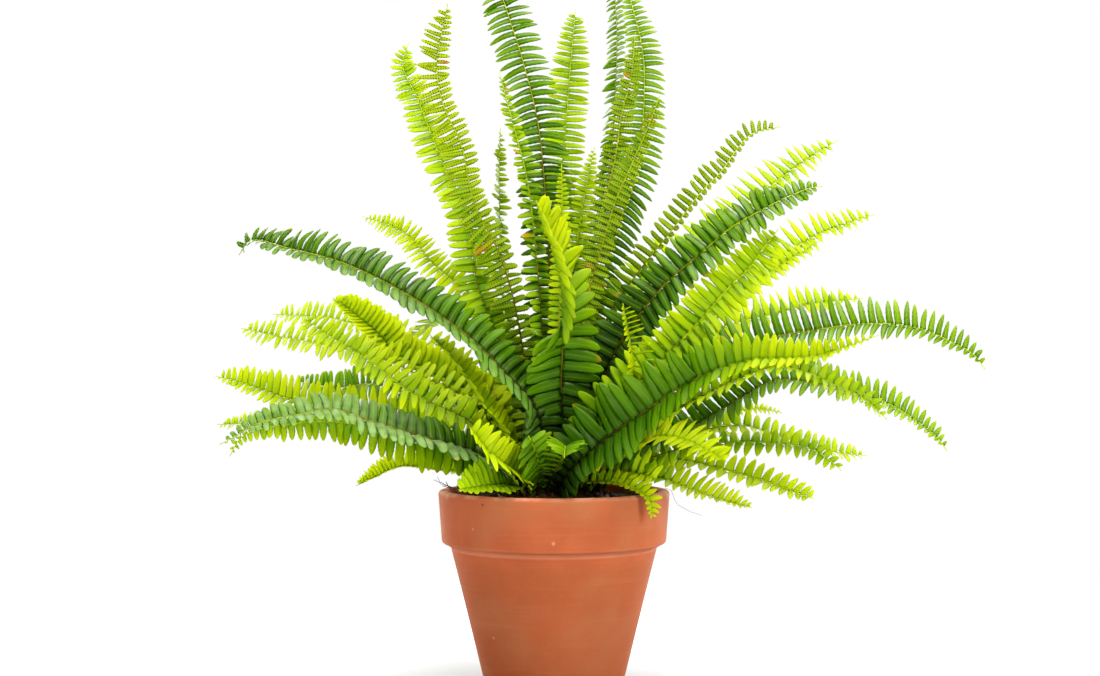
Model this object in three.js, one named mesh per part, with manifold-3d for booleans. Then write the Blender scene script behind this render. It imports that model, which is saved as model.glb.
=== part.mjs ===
// A fern in a terracotta flower pot.
// Millimetres, +Z up. The origin is the middle of the pot's foot, where it stands on the floor.
import * as THREE from 'three';
import Module from 'manifold-3d';
import { mergeVertices } from 'three/addons/utils/BufferGeometryUtils.js';

// Pot: a tapered cup with a thicker band under the rim and one drain hole.
const POT = {
  footRadius: 53,
  neckRadius: 80.5,      // the cup's outside where the band begins
  neckHeight: 112,
  bandRadius: 87.7,      // the band's outside at its lower edge
  rimRadius: 90.3,
  height: 156,
  wall: 8.3,
  floor: 9,
  drainRadius: 9.5,
  facets: 36,
};
const POT_SLOPE = (POT.neckRadius - POT.footRadius) / POT.neckHeight;
const LIP = 3;           // rounding of the band's edges
const POT_AIR = 2;       // air between the leaflets and the pot or soil

// Soil and the fern's rootstock, which sits in a shallow round hole in the soil.
const GAP = 0.35;        // air between two pieces that touch
const SOIL = { edgeHeight: 146, mound: 5, facets: 24 };
const CROWN = { radius: 44, base: 138, shoulder: 152, height: 160, rings: 3, facets: 18 };
const SOCKET = { depth: 8, radius: 2.7, sides: 4 };

// Fronds stand in the rootstock on four rings, the most upright in the middle.
const RINGS = [
  { radius: 8, lean: 0.1 },
  { radius: 17, lean: 0.25 },
  { radius: 26, lean: 0.5 },
  { radius: 35, lean: 0.8 },
];
const ROOT_PITCH = 7.6;  // least distance between two fronds on one ring
const ROOT_ROUNDS = 400; // rounds of spreading the fronds round a ring

// A frond: a three-edged rib with a row of leaflets down either side.
const RIB = { base: 2.6, tip: 1.2, rise: 0.3, keel: 0.55, room: 5.2, step: 5 };
const STRAIGHT = 11;     // straight rib above the rootstock
const NEAREST = 15;      // a noted point nearer than this to the straight rib is passed over
const BARE = 32;         // rib below the first leaflet
const LEAFLET_PITCH = 18.2;
const CLOSING = 0.22;    // how far the pairs draw together towards the tip
const LEAFLET = { end: 0.56, slant: 0.14, keel: 0.8, sweep: 6, tipSweep: 26, half: 0.9,
  least: 2.5, wander: 5, bendRoom: 0.5 };
const AIR = 0.4;         // air between two fronds
const EASE = { rounds: 90, push: 0.5, cell: 12, foot: 18, relax: 0.2 };
const LEAFLET_CELL = 24; // size of the cubes that leaflets are listed by

// Leaflets that would meet another frond bend first, then get shorter.
const BENDS = [0, 12, -12, 24, -24, 38, -38];
const SHORTER = [1, 0.8, 0.6, 0.42];

// The fronds' points are noted as they are seen from EYE against the upright plane through
// the pot's axis, [x, z], with the true depth behind that plane last. The first point is
// the lowest and the last the tip; ring is the place in RINGS, leaf the longest leaflet,
// age 0 for a new yellow-green frond and 1 for an old dark one, fold how far the leaflets
// stand up from the frond's face in degrees, and face the way its upper side looks. A frond
// that twists has a tipFace too.
const EYE = new THREE.Vector3(-3.1, -1290, 252);

const UPRIGHT_FRONDS = [
  { ring: 0, leaf: 22, age: 0.9, fold: 8, face: [0.1, -1, 0.3],
    path: [[-3, 250, 10], [-3, 300, 16], [-6.6, 384, 28], [-12.5, 443, 38], [-24, 491, 46],
      [-39.6, 540, 56], [-55, 590, 66]] },
  { ring: 0, leaf: 17, age: 0.35, fold: 6, face: [0, -1, 0.2],
    path: [[5, 250, 30], [6, 330, 45], [6, 400, 60], [9.9, 447, 70], [12.5, 483, 78], [17, 533, 88]] },
  { ring: 0, leaf: 14, age: 0.55, fold: 10, face: [0.7, -0.7, 0],
    path: [[-8, 250, 0], [-15, 350, 8], [-21.6, 402, 14], [-30, 435, 18], [-38.7, 467, 22],
      [-43, 484, 24]] },
  { ring: 0, leaf: 9, age: 0.2, fold: 8, face: [0, -1, 0.2],
    path: [[3, 260, -8], [5, 320, -7], [6.4, 380, -5], [6, 411, -4]] },
  { ring: 0, leaf: 13, age: 0.25, fold: 8, face: [-0.1, -1, 0.3],
    path: [[8, 250, 24], [14, 320, 34], [18.4, 353, 38], [22, 374, 42], [26, 397, 46], [32, 425, 50]] },
  { ring: 1, leaf: 20, age: 0.25, fold: 6, face: [0.3, -1, 0.2],
    path: [[-30, 240, 22], [-48, 285, 30], [-60.5, 319, 40], [-67, 369, 50], [-86, 409, 62],
      [-107.5, 463, 78], [-119, 490, 86], [-114, 507, 90]] },
  { ring: 1, leaf: 15, age: 0.4, fold: 6, face: [-0.3, 1, 0.2],
    path: [[-20, 230, -12], [-32, 306, -20], [-44, 343, -26], [-63, 382, -34], [-73, 427, -44],
      [-88, 461, -55], [-92, 490, -62], [-83.5, 538, -74]] },
  { ring: 1, leaf: 13, age: 0.85, fold: 12, face: [0.85, -0.5, 0],
    path: [[-30, 260, 25], [-42, 319, 34], [-42.4, 360, 38], [-43, 405, 42], [-42, 440, 44]] },
  { ring: 1, leaf: 12, age: 0.85, fold: 10, face: [-0.8, -0.6, 0],
    path: [[20, 260, 50], [40, 380, 60], [47, 440, 68], [49, 485, 74], [49.6, 517, 80],
      [44, 588, 90]] },
  { ring: 1, leaf: 16, age: 0.85, fold: 10, face: [0.3, -1, 0.2],
    path: [[25, 270, 22], [46, 350, 26], [55, 375, 28], [64, 400, 30], [70.7, 459, 34],
      [69.7, 501, 37], [57, 553, 40]] },
  { ring: 1, leaf: 13, age: 0.55, fold: 6, face: [0, 1, 0.2],
    path: [[22, 260, 0], [40, 380, -6], [48.6, 419, -12], [53, 449, -16], [61, 483, -20],
      [64, 515, -24]] },
  { ring: 1, leaf: 11, age: 0.45, fold: 8, face: [0.2, 1, 0.2],
    path: [[15, 250, -14], [30, 320, -22], [38.3, 349, -28], [48.7, 383, -36], [61, 411, -44],
      [75, 443, -54], [83, 465, -60]] },
];

const LEFT_FRONDS = [
  { ring: 2, leaf: 26, age: 1, fold: 14, face: [0, -0.7, 0.7],
    path: [[-8, 212, -42], [-19, 228, -50], [-37, 246.5, -58], [-60, 270, -66], [-85, 289.5, -74],
      [-120, 311.6, -80], [-166.6, 334, -80], [-204, 344, -74], [-239, 351, -64], [-247, 340, -60]] },
  { ring: 1, leaf: 17, age: 0.05, fold: 8, face: [0.1, -0.9, 0.4],
    path: [[-50, 290, 44], [-78, 319, 60], [-96, 334, 72], [-113, 354, 84], [-131, 364, 96],
      [-150, 370, 108]] },
  { ring: 2, leaf: 16, age: 0.12, fold: 16, face: [0, -0.6, 0.8],
    path: [[-55, 235, 34], [-90, 262, 46], [-120, 277, 54], [-153.5, 285, 62], [-174, 290.5, 68],
      [-200, 292.5, 76], [-220, 293.5, 82]] },
  { ring: 2, leaf: 16, age: 0.12, fold: 16, face: [0, -0.6, 0.8],
    path: [[-55, 218, -6], [-100, 243, -4], [-140, 260, 0], [-175, 268, 8], [-198, 273, 14],
      [-220, 277, 20], [-245, 282.5, 28]] },
  { ring: 3, leaf: 16, age: 0.2, fold: 14, face: [0, -0.7, 0.7],
    path: [[-60, 205, -45], [-100, 226, -40], [-117, 235, -37], [-133, 248, -33], [-153.5, 263, -28],
      [-174, 275, -22], [-198, 291.5, -14]] },
  { ring: 2, leaf: 22, age: 0.05, fold: 14, face: [0.2, -0.9, 0.4],
    path: [[-45, 218, 8], [-97, 248, 16], [-125, 263, 24], [-137.5, 277, 30], [-155.5, 292.5, 38],
      [-173.6, 306.5, 46]] },
  { ring: 2, leaf: 17, age: 0.08, fold: 16, face: [0, -0.6, 0.8],
    path: [[-50, 190, 22], [-120, 212, 44], [-170, 218, 72], [-203, 225, 92], [-226, 232.6, 104],
      [-245.5, 239.6, 114], [-265.6, 245, 126]] },
  { ring: 3, leaf: 13, age: 0.15, fold: 14, face: [0, -0.6, 0.8],
    path: [[-60, 188, 50], [-120, 200, 84], [-180, 207, 112], [-225, 212, 128], [-245.5, 208, 134],
      [-264, 207, 140]] },
  { ring: 3, leaf: 27, age: 0.95, fold: 14, face: [0, -0.65, 0.75],
    path: [[-42, 175, -52], [-64, 187, -66], [-92, 195, -80], [-117, 202, -90], [-143, 210, -100],
      [-173, 219, -110], [-199, 215, -118], [-231.5, 208, -126], [-249.6, 198, -128],
      [-262, 191, -130]] },
  { ring: 3, leaf: 22, age: 0.3, fold: 4, face: [0, -0.8, 0.6],
    path: [[-45, 173, -30], [-80, 187, -40], [-125, 197, -50], [-163, 208, -58], [-200, 208, -66],
      [-243.5, 198, -76], [-254, 182, -80]] },
  { ring: 3, leaf: 12, age: 0.05, fold: 10, face: [0, -0.8, 0.6],
    path: [[-60, 168, 52], [-100, 173, 84], [-120, 174, 96], [-140, 166, 106], [-155, 159, 112]] },
  { ring: 2, leaf: 16, age: 0.85, fold: 14, face: [0, -0.6, 0.8],
    path: [[-50, 212, 56], [-120, 232, 96], [-144, 239, 110], [-168, 236, 122], [-203, 241, 136]] },
  { ring: 2, leaf: 16, age: 0.1, fold: 20, face: [0.6, -0.4, 0.5],
    path: [[-40, 202, -54], [-62, 232, -62], [-77, 255, -66], [-97, 277, -64]] },
];

const FRONT_FRONDS = [
  { ring: 1, leaf: 28, age: 0.4, fold: 14, face: [0, -1, 0.1], tipFace: [0.85, -0.5, 0.1],
    path: [[5, 190, -28], [5.5, 235, -46], [7.5, 287, -66], [7.5, 311, -78], [-1, 347, -98],
      [-6.5, 361, -106], [-14, 383, -120]] },
  { ring: 2, leaf: 17, age: 0.1, fold: 32, face: [-0.7, -0.7, 0.1],
    path: [[42, 205, -66], [63, 252, -86], [60, 270, -92], [58, 280, -95], [54, 302, -101]] },
  { ring: 3, leaf: 20, age: 0.15, fold: 32, face: [0.45, -0.8, 0.45],
    path: [[-28, 169, -66], [-40, 177, -78], [-48, 182, -84], [-56, 192, -90], [-66, 205, -96]] },
  { ring: 3, leaf: 21, age: 0.1, fold: 30, face: [0, -0.6, 0.8],
    path: [[-35, 161, -54], [-55, 160, -60], [-75, 156, -62]] },
  { ring: 3, leaf: 27, age: 0.3, fold: 2, face: [0, -0.4, 1],
    path: [[10, 184, -74], [9, 190, -100], [8, 181, -124]] },
  { ring: 3, leaf: 20, age: 0.8, fold: 6, face: [0.2, -0.9, 0.4],
    path: [[-8, 168, -62], [-12, 182, -74], [-20, 198, -80]] },
  { ring: 3, leaf: 34, age: 0.75, fold: 12, face: [0, -0.8, 0.6],
    path: [[15, 176, -58], [40, 196, -78], [65, 213, -96], [94, 233, -118], [125, 249, -142],
      [155, 257.5, -164], [190, 259.5, -186], [210, 261.5, -196], [229, 268, -206],
      [255, 277, -216]] },
  { ring: 3, leaf: 15, age: 0.12, fold: 12, face: [0.1, -0.8, 0.6],
    path: [[26, 168, -40], [36, 168, -49], [50, 164.5, -56], [62, 160, -60], [70, 156.5, -64],
      [75, 147, -68], [76, 133.5, -69]] },
  { ring: 3, leaf: 20, age: 0.3, fold: 6, face: [0, -1, 0.3],
    path: [[22, 170, -32], [38, 174, -38], [50, 174, -42], [62, 170, -46], [80, 165, -50]] },
  { ring: 3, leaf: 20, age: 0.02, fold: 12, face: [0, -0.75, 0.65],
    path: [[40, 181, -60], [70, 193, -90], [85, 198, -102], [105, 194, -114], [121, 186, -124],
      [135, 178, -132]] },
];

const RIGHT_FRONDS = [
  { ring: 1, leaf: 15, age: 0.4, fold: 24, face: [0.5, 0.8, 0.1],
    path: [[35, 275, -4], [60, 318, -8], [93, 360, -14], [117, 391, -18], [131, 405, -20],
      [143, 422, -22], [155, 435, -24], [178, 441, -26]] },
  { ring: 1, leaf: 20, age: 0.2, fold: 10, face: [-0.2, -0.8, 0.6],
    path: [[60, 300, 60], [110, 345, 76], [150, 375, 90], [168, 392, 96], [190, 409, 102],
      [205, 419, 106], [223, 430, 110]] },
  { ring: 2, leaf: 27, age: 0.85, fold: 10, face: [0, -0.8, 0.6],
    path: [[20, 215, -26], [39, 247, -36], [52, 271, -42], [66, 292, -46], [88, 317.6, -50],
      [116, 342, -52], [140, 362, -52], [160, 373.5, -52], [178, 383, -50], [200, 392, -46],
      [211, 394, -44]] },
  { ring: 2, leaf: 20, age: 0.1, fold: 16, face: [0, -0.7, 0.7],
    path: [[50, 232, 26], [100, 275, 40], [150, 316, 52], [185, 342, 60], [203, 354, 64],
      [232, 365.5, 70], [252, 372, 76]] },
  { ring: 2, leaf: 17, age: 0.08, fold: 14, face: [0, -0.7, 0.7],
    path: [[45, 222, -10], [90, 262, -8], [130, 296, -2], [157, 317.5, 4], [172, 328, 8],
      [188, 338, 12], [210, 352, 20]] },
  { ring: 2, leaf: 25, age: 0.35, fold: 8, face: [0, -0.9, 0.45],
    path: [[30, 208, -56], [70, 245, -66], [101, 274, -70], [117, 291.5, -70], [137, 314, -66],
      [154, 331, -62], [166, 346.5, -58], [176, 360, -54]] },
  { ring: 2, leaf: 18, age: 0.12, fold: 16, face: [0, -0.65, 0.75],
    path: [[50, 222, 6], [110, 268, 14], [144, 287, 20], [170, 293, 24], [200, 301, 30],
      [228, 304.5, 36], [243, 306, 38]] },
  { ring: 2, leaf: 22, age: 0.75, fold: 16, face: [0, -0.6, 0.75],
    path: [[50, 205, -44], [100, 243, -78], [150, 268, -98], [180, 277, -108], [205, 281, -115],
      [245, 286, -126], [284, 283, -136], [315, 270, -144], [330, 261, -148], [338, 250, -150]] },
  { ring: 3, leaf: 20, age: 0.7, fold: 12, face: [0, -0.6, 0.8],
    path: [[50, 180, -34], [109, 206.5, -46], [136, 221.5, -52], [173, 241.5, -58], [207, 238, -64],
      [235, 231, -68], [257, 225.5, -72], [280, 212.5, -75], [300, 197, -78], [308, 186, -80]] },
  { ring: 3, leaf: 17, age: 0.25, fold: 16, face: [0, -0.65, 0.75],
    path: [[50, 188, -62], [110, 226, -94], [150, 245, -110], [175, 252, -116], [200, 247, -118],
      [222, 237, -118], [240, 229, -118], [261, 211, -116]] },
  { ring: 3, leaf: 10, age: 0.05, fold: 10, face: [0, -0.7, 0.7],
    path: [[55, 182, 22], [120, 210, 36], [150, 219, 42], [165, 219, 45], [179, 216, 48]] },
  { ring: 3, leaf: 18, age: 0.2, fold: 18, face: [0, -0.6, 0.8],
    path: [[50, 178, 6], [100, 198, 8], [138, 206, 10], [156, 205, 12], [172, 199, 14],
      [197, 191.5, 18], [220, 185.5, 22], [245, 182.5, 26]] },
  { ring: 3, leaf: 15, age: 0.4, fold: 6, face: [0, -0.7, 0.7],
    path: [[50, 172, -36], [100, 188, -46], [141, 193.5, -54], [165, 192.5, -58], [187, 191, -60],
      [203, 187, -62], [216, 179, -64], [225, 171, -66]] },
  { ring: 3, leaf: 15, age: 0.15, fold: 18, face: [0, -0.65, 0.75],
    path: [[50, 170, -10], [80, 180, -14], [104, 179, -18], [127, 173.5, -24], [150, 167, -28],
      [175, 159, -34], [192, 152.5, -38], [204, 149, -42]] },
  { ring: 3, leaf: 23, age: 0.2, fold: 24, face: [0, -0.65, 0.75],
    path: [[48, 166, -26], [70, 169, -32], [85, 165, -36], [105, 157.5, -40], [125, 150, -44],
      [140, 145.5, -48], [155, 142, -52]] },
];

const BACK_FRONDS = [
  { ring: 2, leaf: 20, age: 0.6, fold: 14, face: [0, -0.3, 1],
    path: [[-2, 215, 60], [-5, 268, 110], [-9, 286, 170], [-13, 268, 222]] },
  { ring: 2, leaf: 20, age: 0.5, fold: 14, face: [0, -0.3, 1],
    path: [[22, 215, 52], [52, 270, 100], [86, 288, 150], [112, 272, 192], [126, 246, 216]] },
  { ring: 2, leaf: 20, age: 0.5, fold: 14, face: [0, -0.3, 1],
    path: [[-24, 215, 56], [-52, 272, 104], [-84, 290, 152], [-108, 276, 190], [-122, 250, 214]] },
  { ring: 3, leaf: 18, age: 0.4, fold: 14, face: [0, -0.3, 1],
    path: [[8, 184, 66], [14, 206, 120], [20, 198, 172], [26, 176, 214]] },
  { ring: 3, leaf: 18, age: 0.3, fold: 14, face: [0, -0.3, 1],
    path: [[-22, 182, 62], [-42, 202, 116], [-62, 192, 164], [-78, 168, 200]] },
  { ring: 3, leaf: 18, age: 0.4, fold: 14, face: [0, -0.3, 1],
    path: [[42, 180, 48], [84, 204, 96], [120, 206, 136], [150, 190, 166]] },
];

const FRONDS = [
  ...UPRIGHT_FRONDS, ...LEFT_FRONDS, ...FRONT_FRONDS, ...RIGHT_FRONDS, ...BACK_FRONDS,
];

const NEW_GREEN = new THREE.Color(0xa9d41c);
const OLD_GREEN = new THREE.Color(0x2c7419);

// Repeatable random draws between -1 and 1.
function makeDraws(seed) {
  let state = seed;
  return () => {
    state = (state * 1664525 + 1013904223) % 4294967296;
    return state / 2147483648 - 1;
  };
}

function material(colour, roughness) {
  return new THREE.MeshStandardMaterial({ color: colour, roughness, metalness: 0 });
}

// Turns a profile of [radius, height] points about the upright axis.
function turned(profile, facets) {
  const points = profile.map(([radius, height]) => new THREE.Vector2(radius, height));
  return new THREE.LatheGeometry(points, facets).rotateX(Math.PI / 2);
}

// A run of profile points on an arc, from one angle to another in degrees.
function arc(radius, height, bend, from, to, steps) {
  const points = [];
  for (let i = 0; i <= steps; i++) {
    const angle = THREE.MathUtils.degToRad(from + ((to - from) * i) / steps);
    points.push([radius + bend * Math.cos(angle), height + bend * Math.sin(angle)]);
  }
  return points;
}

// The pot's wall inside, at any height.
function boreRadius(height) {
  const straight = POT.footRadius + POT_SLOPE * height - POT.wall;
  return Math.min(straight, POT.rimRadius - POT.wall);
}

function makePot() {
  const lipHeight = POT.height - LIP;
  const bandHeight = POT.neckHeight + LIP;
  const profile = [
    [POT.drainRadius, 0],
    [POT.footRadius - 2, 0],
    [POT.footRadius, 1.5],
    [POT.neckRadius, POT.neckHeight],
    ...arc(POT.bandRadius - LIP, bandHeight + LIP, LIP, -90, 0, 2),
    ...arc(POT.rimRadius - LIP, lipHeight, LIP, 0, 90, 2),
    ...arc(POT.rimRadius - POT.wall + LIP, lipHeight, LIP, 90, 180, 2),
    [boreRadius(POT.neckHeight + 20), POT.neckHeight + 20],
    [boreRadius(POT.floor + 4), POT.floor + 4],
    [boreRadius(POT.floor) - 4, POT.floor],
    [POT.drainRadius, POT.floor],
    [POT.drainRadius, 0],
  ];
  return turned(profile, POT.facets);
}

// The soil fills the pot up to a low mound, with a round hole for the rootstock.
function makeSoil() {
  const bottom = POT.floor + GAP;
  const holeRadius = CROWN.radius + GAP;
  const rise = SOIL.edgeHeight + SOIL.mound;
  const profile = [
    [0, bottom],
    [boreRadius(bottom) - 4 - 2 * GAP, bottom],
    [boreRadius(bottom + 4) - 2 * GAP, bottom + 4],
    [boreRadius(POT.neckHeight) - 2 * GAP, POT.neckHeight],
    [boreRadius(SOIL.edgeHeight) - 2 * GAP - 1, SOIL.edgeHeight],
    [boreRadius(SOIL.edgeHeight) - 12, SOIL.edgeHeight + 0.6 * SOIL.mound],
    [holeRadius + 6, rise],
    [holeRadius, rise - 1],
    [holeRadius - 4, CROWN.base - GAP],
    [0, CROWN.base - GAP],
  ];
  return turned(profile, SOIL.facets);
}

// Height of the rootstock's domed top at a distance from the axis.
function crownHeight(radius) {
  const t = Math.min(radius / CROWN.radius, 1);
  return CROWN.shoulder + (CROWN.height - CROWN.shoulder) * (1 - t * t);
}

function makeCrown() {
  const profile = [[0, CROWN.base], [CROWN.radius - 4, CROWN.base]];
  for (let i = CROWN.rings; i >= 0; i--) {
    const radius = (CROWN.radius * i) / CROWN.rings;
    profile.push([radius, crownHeight(radius)]);
  }
  return turned(profile, CROWN.facets);
}

// Moves a noted point to its true place, out along the sight line from EYE.
function place([x, z, depth]) {
  const scale = (depth - EYE.y) / -EYE.y;
  return new THREE.Vector3(EYE.x + (x - EYE.x) * scale, depth, EYE.z + (z - EYE.z) * scale);
}

// Where each frond of one ring leaves the rootstock: as near as the pitch lets it to the
// side it leans to, in the same order round the ring.
function rootAngles(fronds, radius) {
  const gap = ROOT_PITCH / radius;
  const order = fronds
    .map((frond) => ({ frond, angle: Math.atan2(frond.way.y, frond.way.x) }))
    .sort((a, b) => a.angle - b.angle);
  const count = order.length;
  for (let round = 0; round < ROOT_ROUNDS; round++) {
    for (let i = 0; i < count; i++) {
      const here = order[i];
      const next = order[(i + 1) % count];
      const turn = i + 1 < count ? 0 : 2 * Math.PI;
      const short = gap - (next.angle + turn - here.angle);
      if (short > 0) {
        here.angle -= short / 2;
        next.angle += short / 2;
      }
    }
  }
  return order;
}

// Gives every frond its root on the crown, the way its foot leans and its rough spine.
function rootFronds() {
  const fronds = FRONDS.map((row, index) => {
    const path = row.path.map(place);
    const way = path[0].clone().add(path[1]);
    return { ...row, index, path, way };
  });
  RINGS.forEach((ring, number) => {
    const onRing = fronds.filter((frond) => frond.ring === number);
    for (const { frond, angle } of rootAngles(onRing, ring.radius)) {
      const out = new THREE.Vector3(Math.cos(angle), Math.sin(angle), 0);
      frond.root = out.clone().multiplyScalar(ring.radius).setZ(crownHeight(ring.radius));
      frond.lean = out.multiplyScalar(ring.lean).setZ(1).normalize();
      const foot = frond.root.clone().addScaledVector(frond.lean, GAP - SOCKET.depth);
      const rise = frond.root.clone().addScaledVector(frond.lean, STRAIGHT);
      const onward = frond.path.filter((point) => point.distanceTo(rise) > NEAREST);
      const curve = new THREE.CatmullRomCurve3([foot, frond.root, rise, ...onward]);
      const steps = Math.ceil(curve.getLength() / RIB.step);
      frond.spine = curve.getSpacedPoints(steps);
      frond.step = curve.getLength() / steps;
    }
  });
  return fronds;
}

// Lists things by the cubes of space that their boxes touch, to find what lies near.
class Neighbours {
  constructor(size) {
    this.size = size;
    this.cells = new Map();
  }

  keys(box) {
    const low = box.min.clone().divideScalar(this.size).floor();
    const high = box.max.clone().divideScalar(this.size).floor();
    const keys = [];
    for (let x = low.x; x <= high.x; x++) {
      for (let y = low.y; y <= high.y; y++) {
        for (let z = low.z; z <= high.z; z++) keys.push(`${x},${y},${z}`);
      }
    }
    return keys;
  }

  add(thing) {
    for (const key of this.keys(thing.box)) {
      if (!this.cells.has(key)) this.cells.set(key, []);
      this.cells.get(key).push(thing);
    }
  }

  near(thing) {
    const found = new Set();
    for (const key of this.keys(thing.box)) {
      for (const other of this.cells.get(key) ?? []) {
        if (other.owner !== thing.owner) found.add(other);
      }
    }
    return found;
  }
}

// Draws a rib's lowest stretch a little straighter.
function relaxFoot(spine) {
  const count = Math.min(EASE.foot, spine.length - 2);
  const middle = new THREE.Vector3();
  for (let i = 3; i < count; i++) {
    const share = EASE.relax * Math.sin((Math.PI * (i - 2)) / (count - 2));
    middle.addVectors(spine[i - 1], spine[i + 1]).multiplyScalar(0.5);
    spine[i].lerp(middle, share);
  }
}

// Ribs that come too near each other are eased apart, a little at a time.
function easeApart(fronds) {
  const near = new THREE.Vector3();
  const far = new THREE.Vector3();
  const push = new THREE.Vector3();
  for (let round = 0; round < EASE.rounds; round++) {
    const space = new Neighbours(EASE.cell);
    const moves = fronds.map((frond) => frond.spine.map(() => new THREE.Vector3()));
    for (const frond of fronds) {
      for (let i = 1; i + 1 < frond.spine.length; i++) {
        const line = new THREE.Line3(frond.spine[i], frond.spine[i + 1]);
        const box = new THREE.Box3().setFromPoints([line.start, line.end]);
        const piece = { owner: frond.index, i, line, box: box.expandByScalar(RIB.room / 2) };
        for (const other of space.near(piece)) {
          const gap = Math.sqrt(line.distanceSqToLine3(other.line, near, far));
          if (gap >= RIB.room) continue;
          push.subVectors(near, far);
          if (gap < 0.05) push.set(0, 1, 0);
          push.setLength((RIB.room - gap) * EASE.push);
          moves[frond.index][i].add(push);
          moves[frond.index][i + 1].add(push);
          moves[other.owner][other.i].sub(push);
          moves[other.owner][other.i + 1].sub(push);
        }
        space.add(piece);
      }
    }
    for (const frond of fronds) {
      const own = moves[frond.index];
      for (let i = 2; i < frond.spine.length; i++) {
        const before = own[i - 1];
        const after = own[Math.min(i + 1, own.length - 1)];
        const point = frond.spine[i];
        point.addScaledVector(own[i], 0.5);
        point.addScaledVector(before, 0.25);
        point.addScaledVector(after, 0.25);
      }
      relaxFoot(frond.spine);
    }
  }
}

// How long a leaflet is for its reach up the frond, 0 at the lowest and 1 at the tip.
function leafletLength(frond, reach) {
  const widening = 0.62 + 0.38 * THREE.MathUtils.smoothstep(reach, 0, 0.25);
  const narrowing = Math.pow(Math.max(1 - reach ** 7, 0), 0.8);
  return Math.max(frond.leaf * widening * narrowing, LEAFLET.least);
}

// One station on the rib, with the frond's own directions there and the rib's three edges.
function stationAt(curve, mark, face) {
  const centre = curve.getPoint(mark);
  const along = curve.getTangent(mark);
  const up = face.clone().addScaledVector(along, -face.dot(along)).normalize();
  const side = along.clone().cross(up);
  const width = THREE.MathUtils.lerp(RIB.base, RIB.tip, mark);
  return { mark, centre, along, up, side, width,
    left: centre.clone().addScaledVector(side, -width / 2).addScaledVector(up, width * RIB.rise),
    right: centre.clone().addScaledVector(side, width / 2).addScaledVector(up, width * RIB.rise),
    keel: centre.clone().addScaledVector(up, -width * RIB.keel) };
}

// Sets the stations from the tip down. Below its leaflets the rib doesn't twist.
function setStations(frond) {
  const curve = new THREE.CatmullRomCurve3(frond.spine);
  const length = frond.step * (frond.spine.length - 1);
  const bare = Math.min(BARE, 0.4 * length);
  const pairs = Math.max(4, Math.round((length - bare) / LEAFLET_PITCH));
  const marks = [0, SOCKET.depth / length, (0.55 * bare) / length];
  frond.firstLeaf = marks.length;
  for (let i = 0; i <= pairs; i++) {
    const t = i / pairs;
    const shrinking = t + CLOSING * t * (1 - t);
    marks.push((bare + (length - bare) * 0.985 * shrinking) / length);
  }
  const lowFace = new THREE.Vector3(...frond.face);
  const tipFace = new THREE.Vector3(...(frond.tipFace ?? frond.face));
  frond.tip = curve.getPoint(1);
  frond.stations = [];
  for (let i = marks.length - 1; i >= 0; i--) {
    const twist = THREE.MathUtils.smoothstep(marks[i], 0.35, 0.8);
    const face = i < frond.firstLeaf ? frond.stations[0].up : lowFace.clone().lerp(tipFace, twist);
    frond.stations.unshift(stationAt(curve, marks[i], face));
  }
}

// A rib's stretch or a leaflet as lines and triangles with a half thickness, for distances.
function outline(owner, half, corners, triangles) {
  const edges = corners.length === 2
    ? [new THREE.Line3(corners[0], corners[1])]
    : [...corners, corners[0]].slice(1).map((point, i) => new THREE.Line3(corners[i], point));
  const box = new THREE.Box3().setFromPoints(corners).expandByScalar(half + AIR);
  return { owner, half, corners, edges, box,
    triangles: triangles.map((three) => new THREE.Triangle(...three.map((i) => corners[i]))) };
}

const spot = new THREE.Vector3();

// Whether the line passes through the triangle.
function pierces(line, triangle) {
  const plane = triangle.getPlane(new THREE.Plane());
  return plane.intersectLine(line, spot) !== null && triangle.containsPoint(spot);
}

// Whether two outlines come nearer than their thickness and the air between fronds.
function meet(a, b) {
  if (!a.box.intersectsBox(b.box)) return false;
  const room = a.half + b.half + AIR;
  for (const one of a.edges) {
    for (const other of b.edges) {
      if (one.distanceSqToLine3(other, spot, new THREE.Vector3()) < room * room) return true;
    }
  }
  for (const [one, other] of [[a, b], [b, a]]) {
    for (const triangle of other.triangles) {
      if (one.edges.some((line) => pierces(line, triangle))) return true;
      for (const corner of one.corners) {
        if (triangle.closestPointToPoint(corner, spot).distanceTo(corner) < room) return true;
      }
    }
  }
  return false;
}

// Whether a point is in, or within a little air of, the pot, the soil or the rootstock.
function inPot(point) {
  const radius = Math.hypot(point.x, point.y);
  if (point.z > CROWN.height + POT_AIR || radius > POT.rimRadius + POT_AIR) return false;
  if (radius < POT.rimRadius - POT.wall - POT_AIR) {
    return point.z < Math.max(SOIL.edgeHeight + SOIL.mound, crownHeight(radius)) + POT_AIR;
  }
  if (point.z > POT.neckHeight) return point.z < POT.height + POT_AIR;
  return radius < POT.footRadius + POT_SLOPE * point.z + POT_AIR;
}

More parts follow.
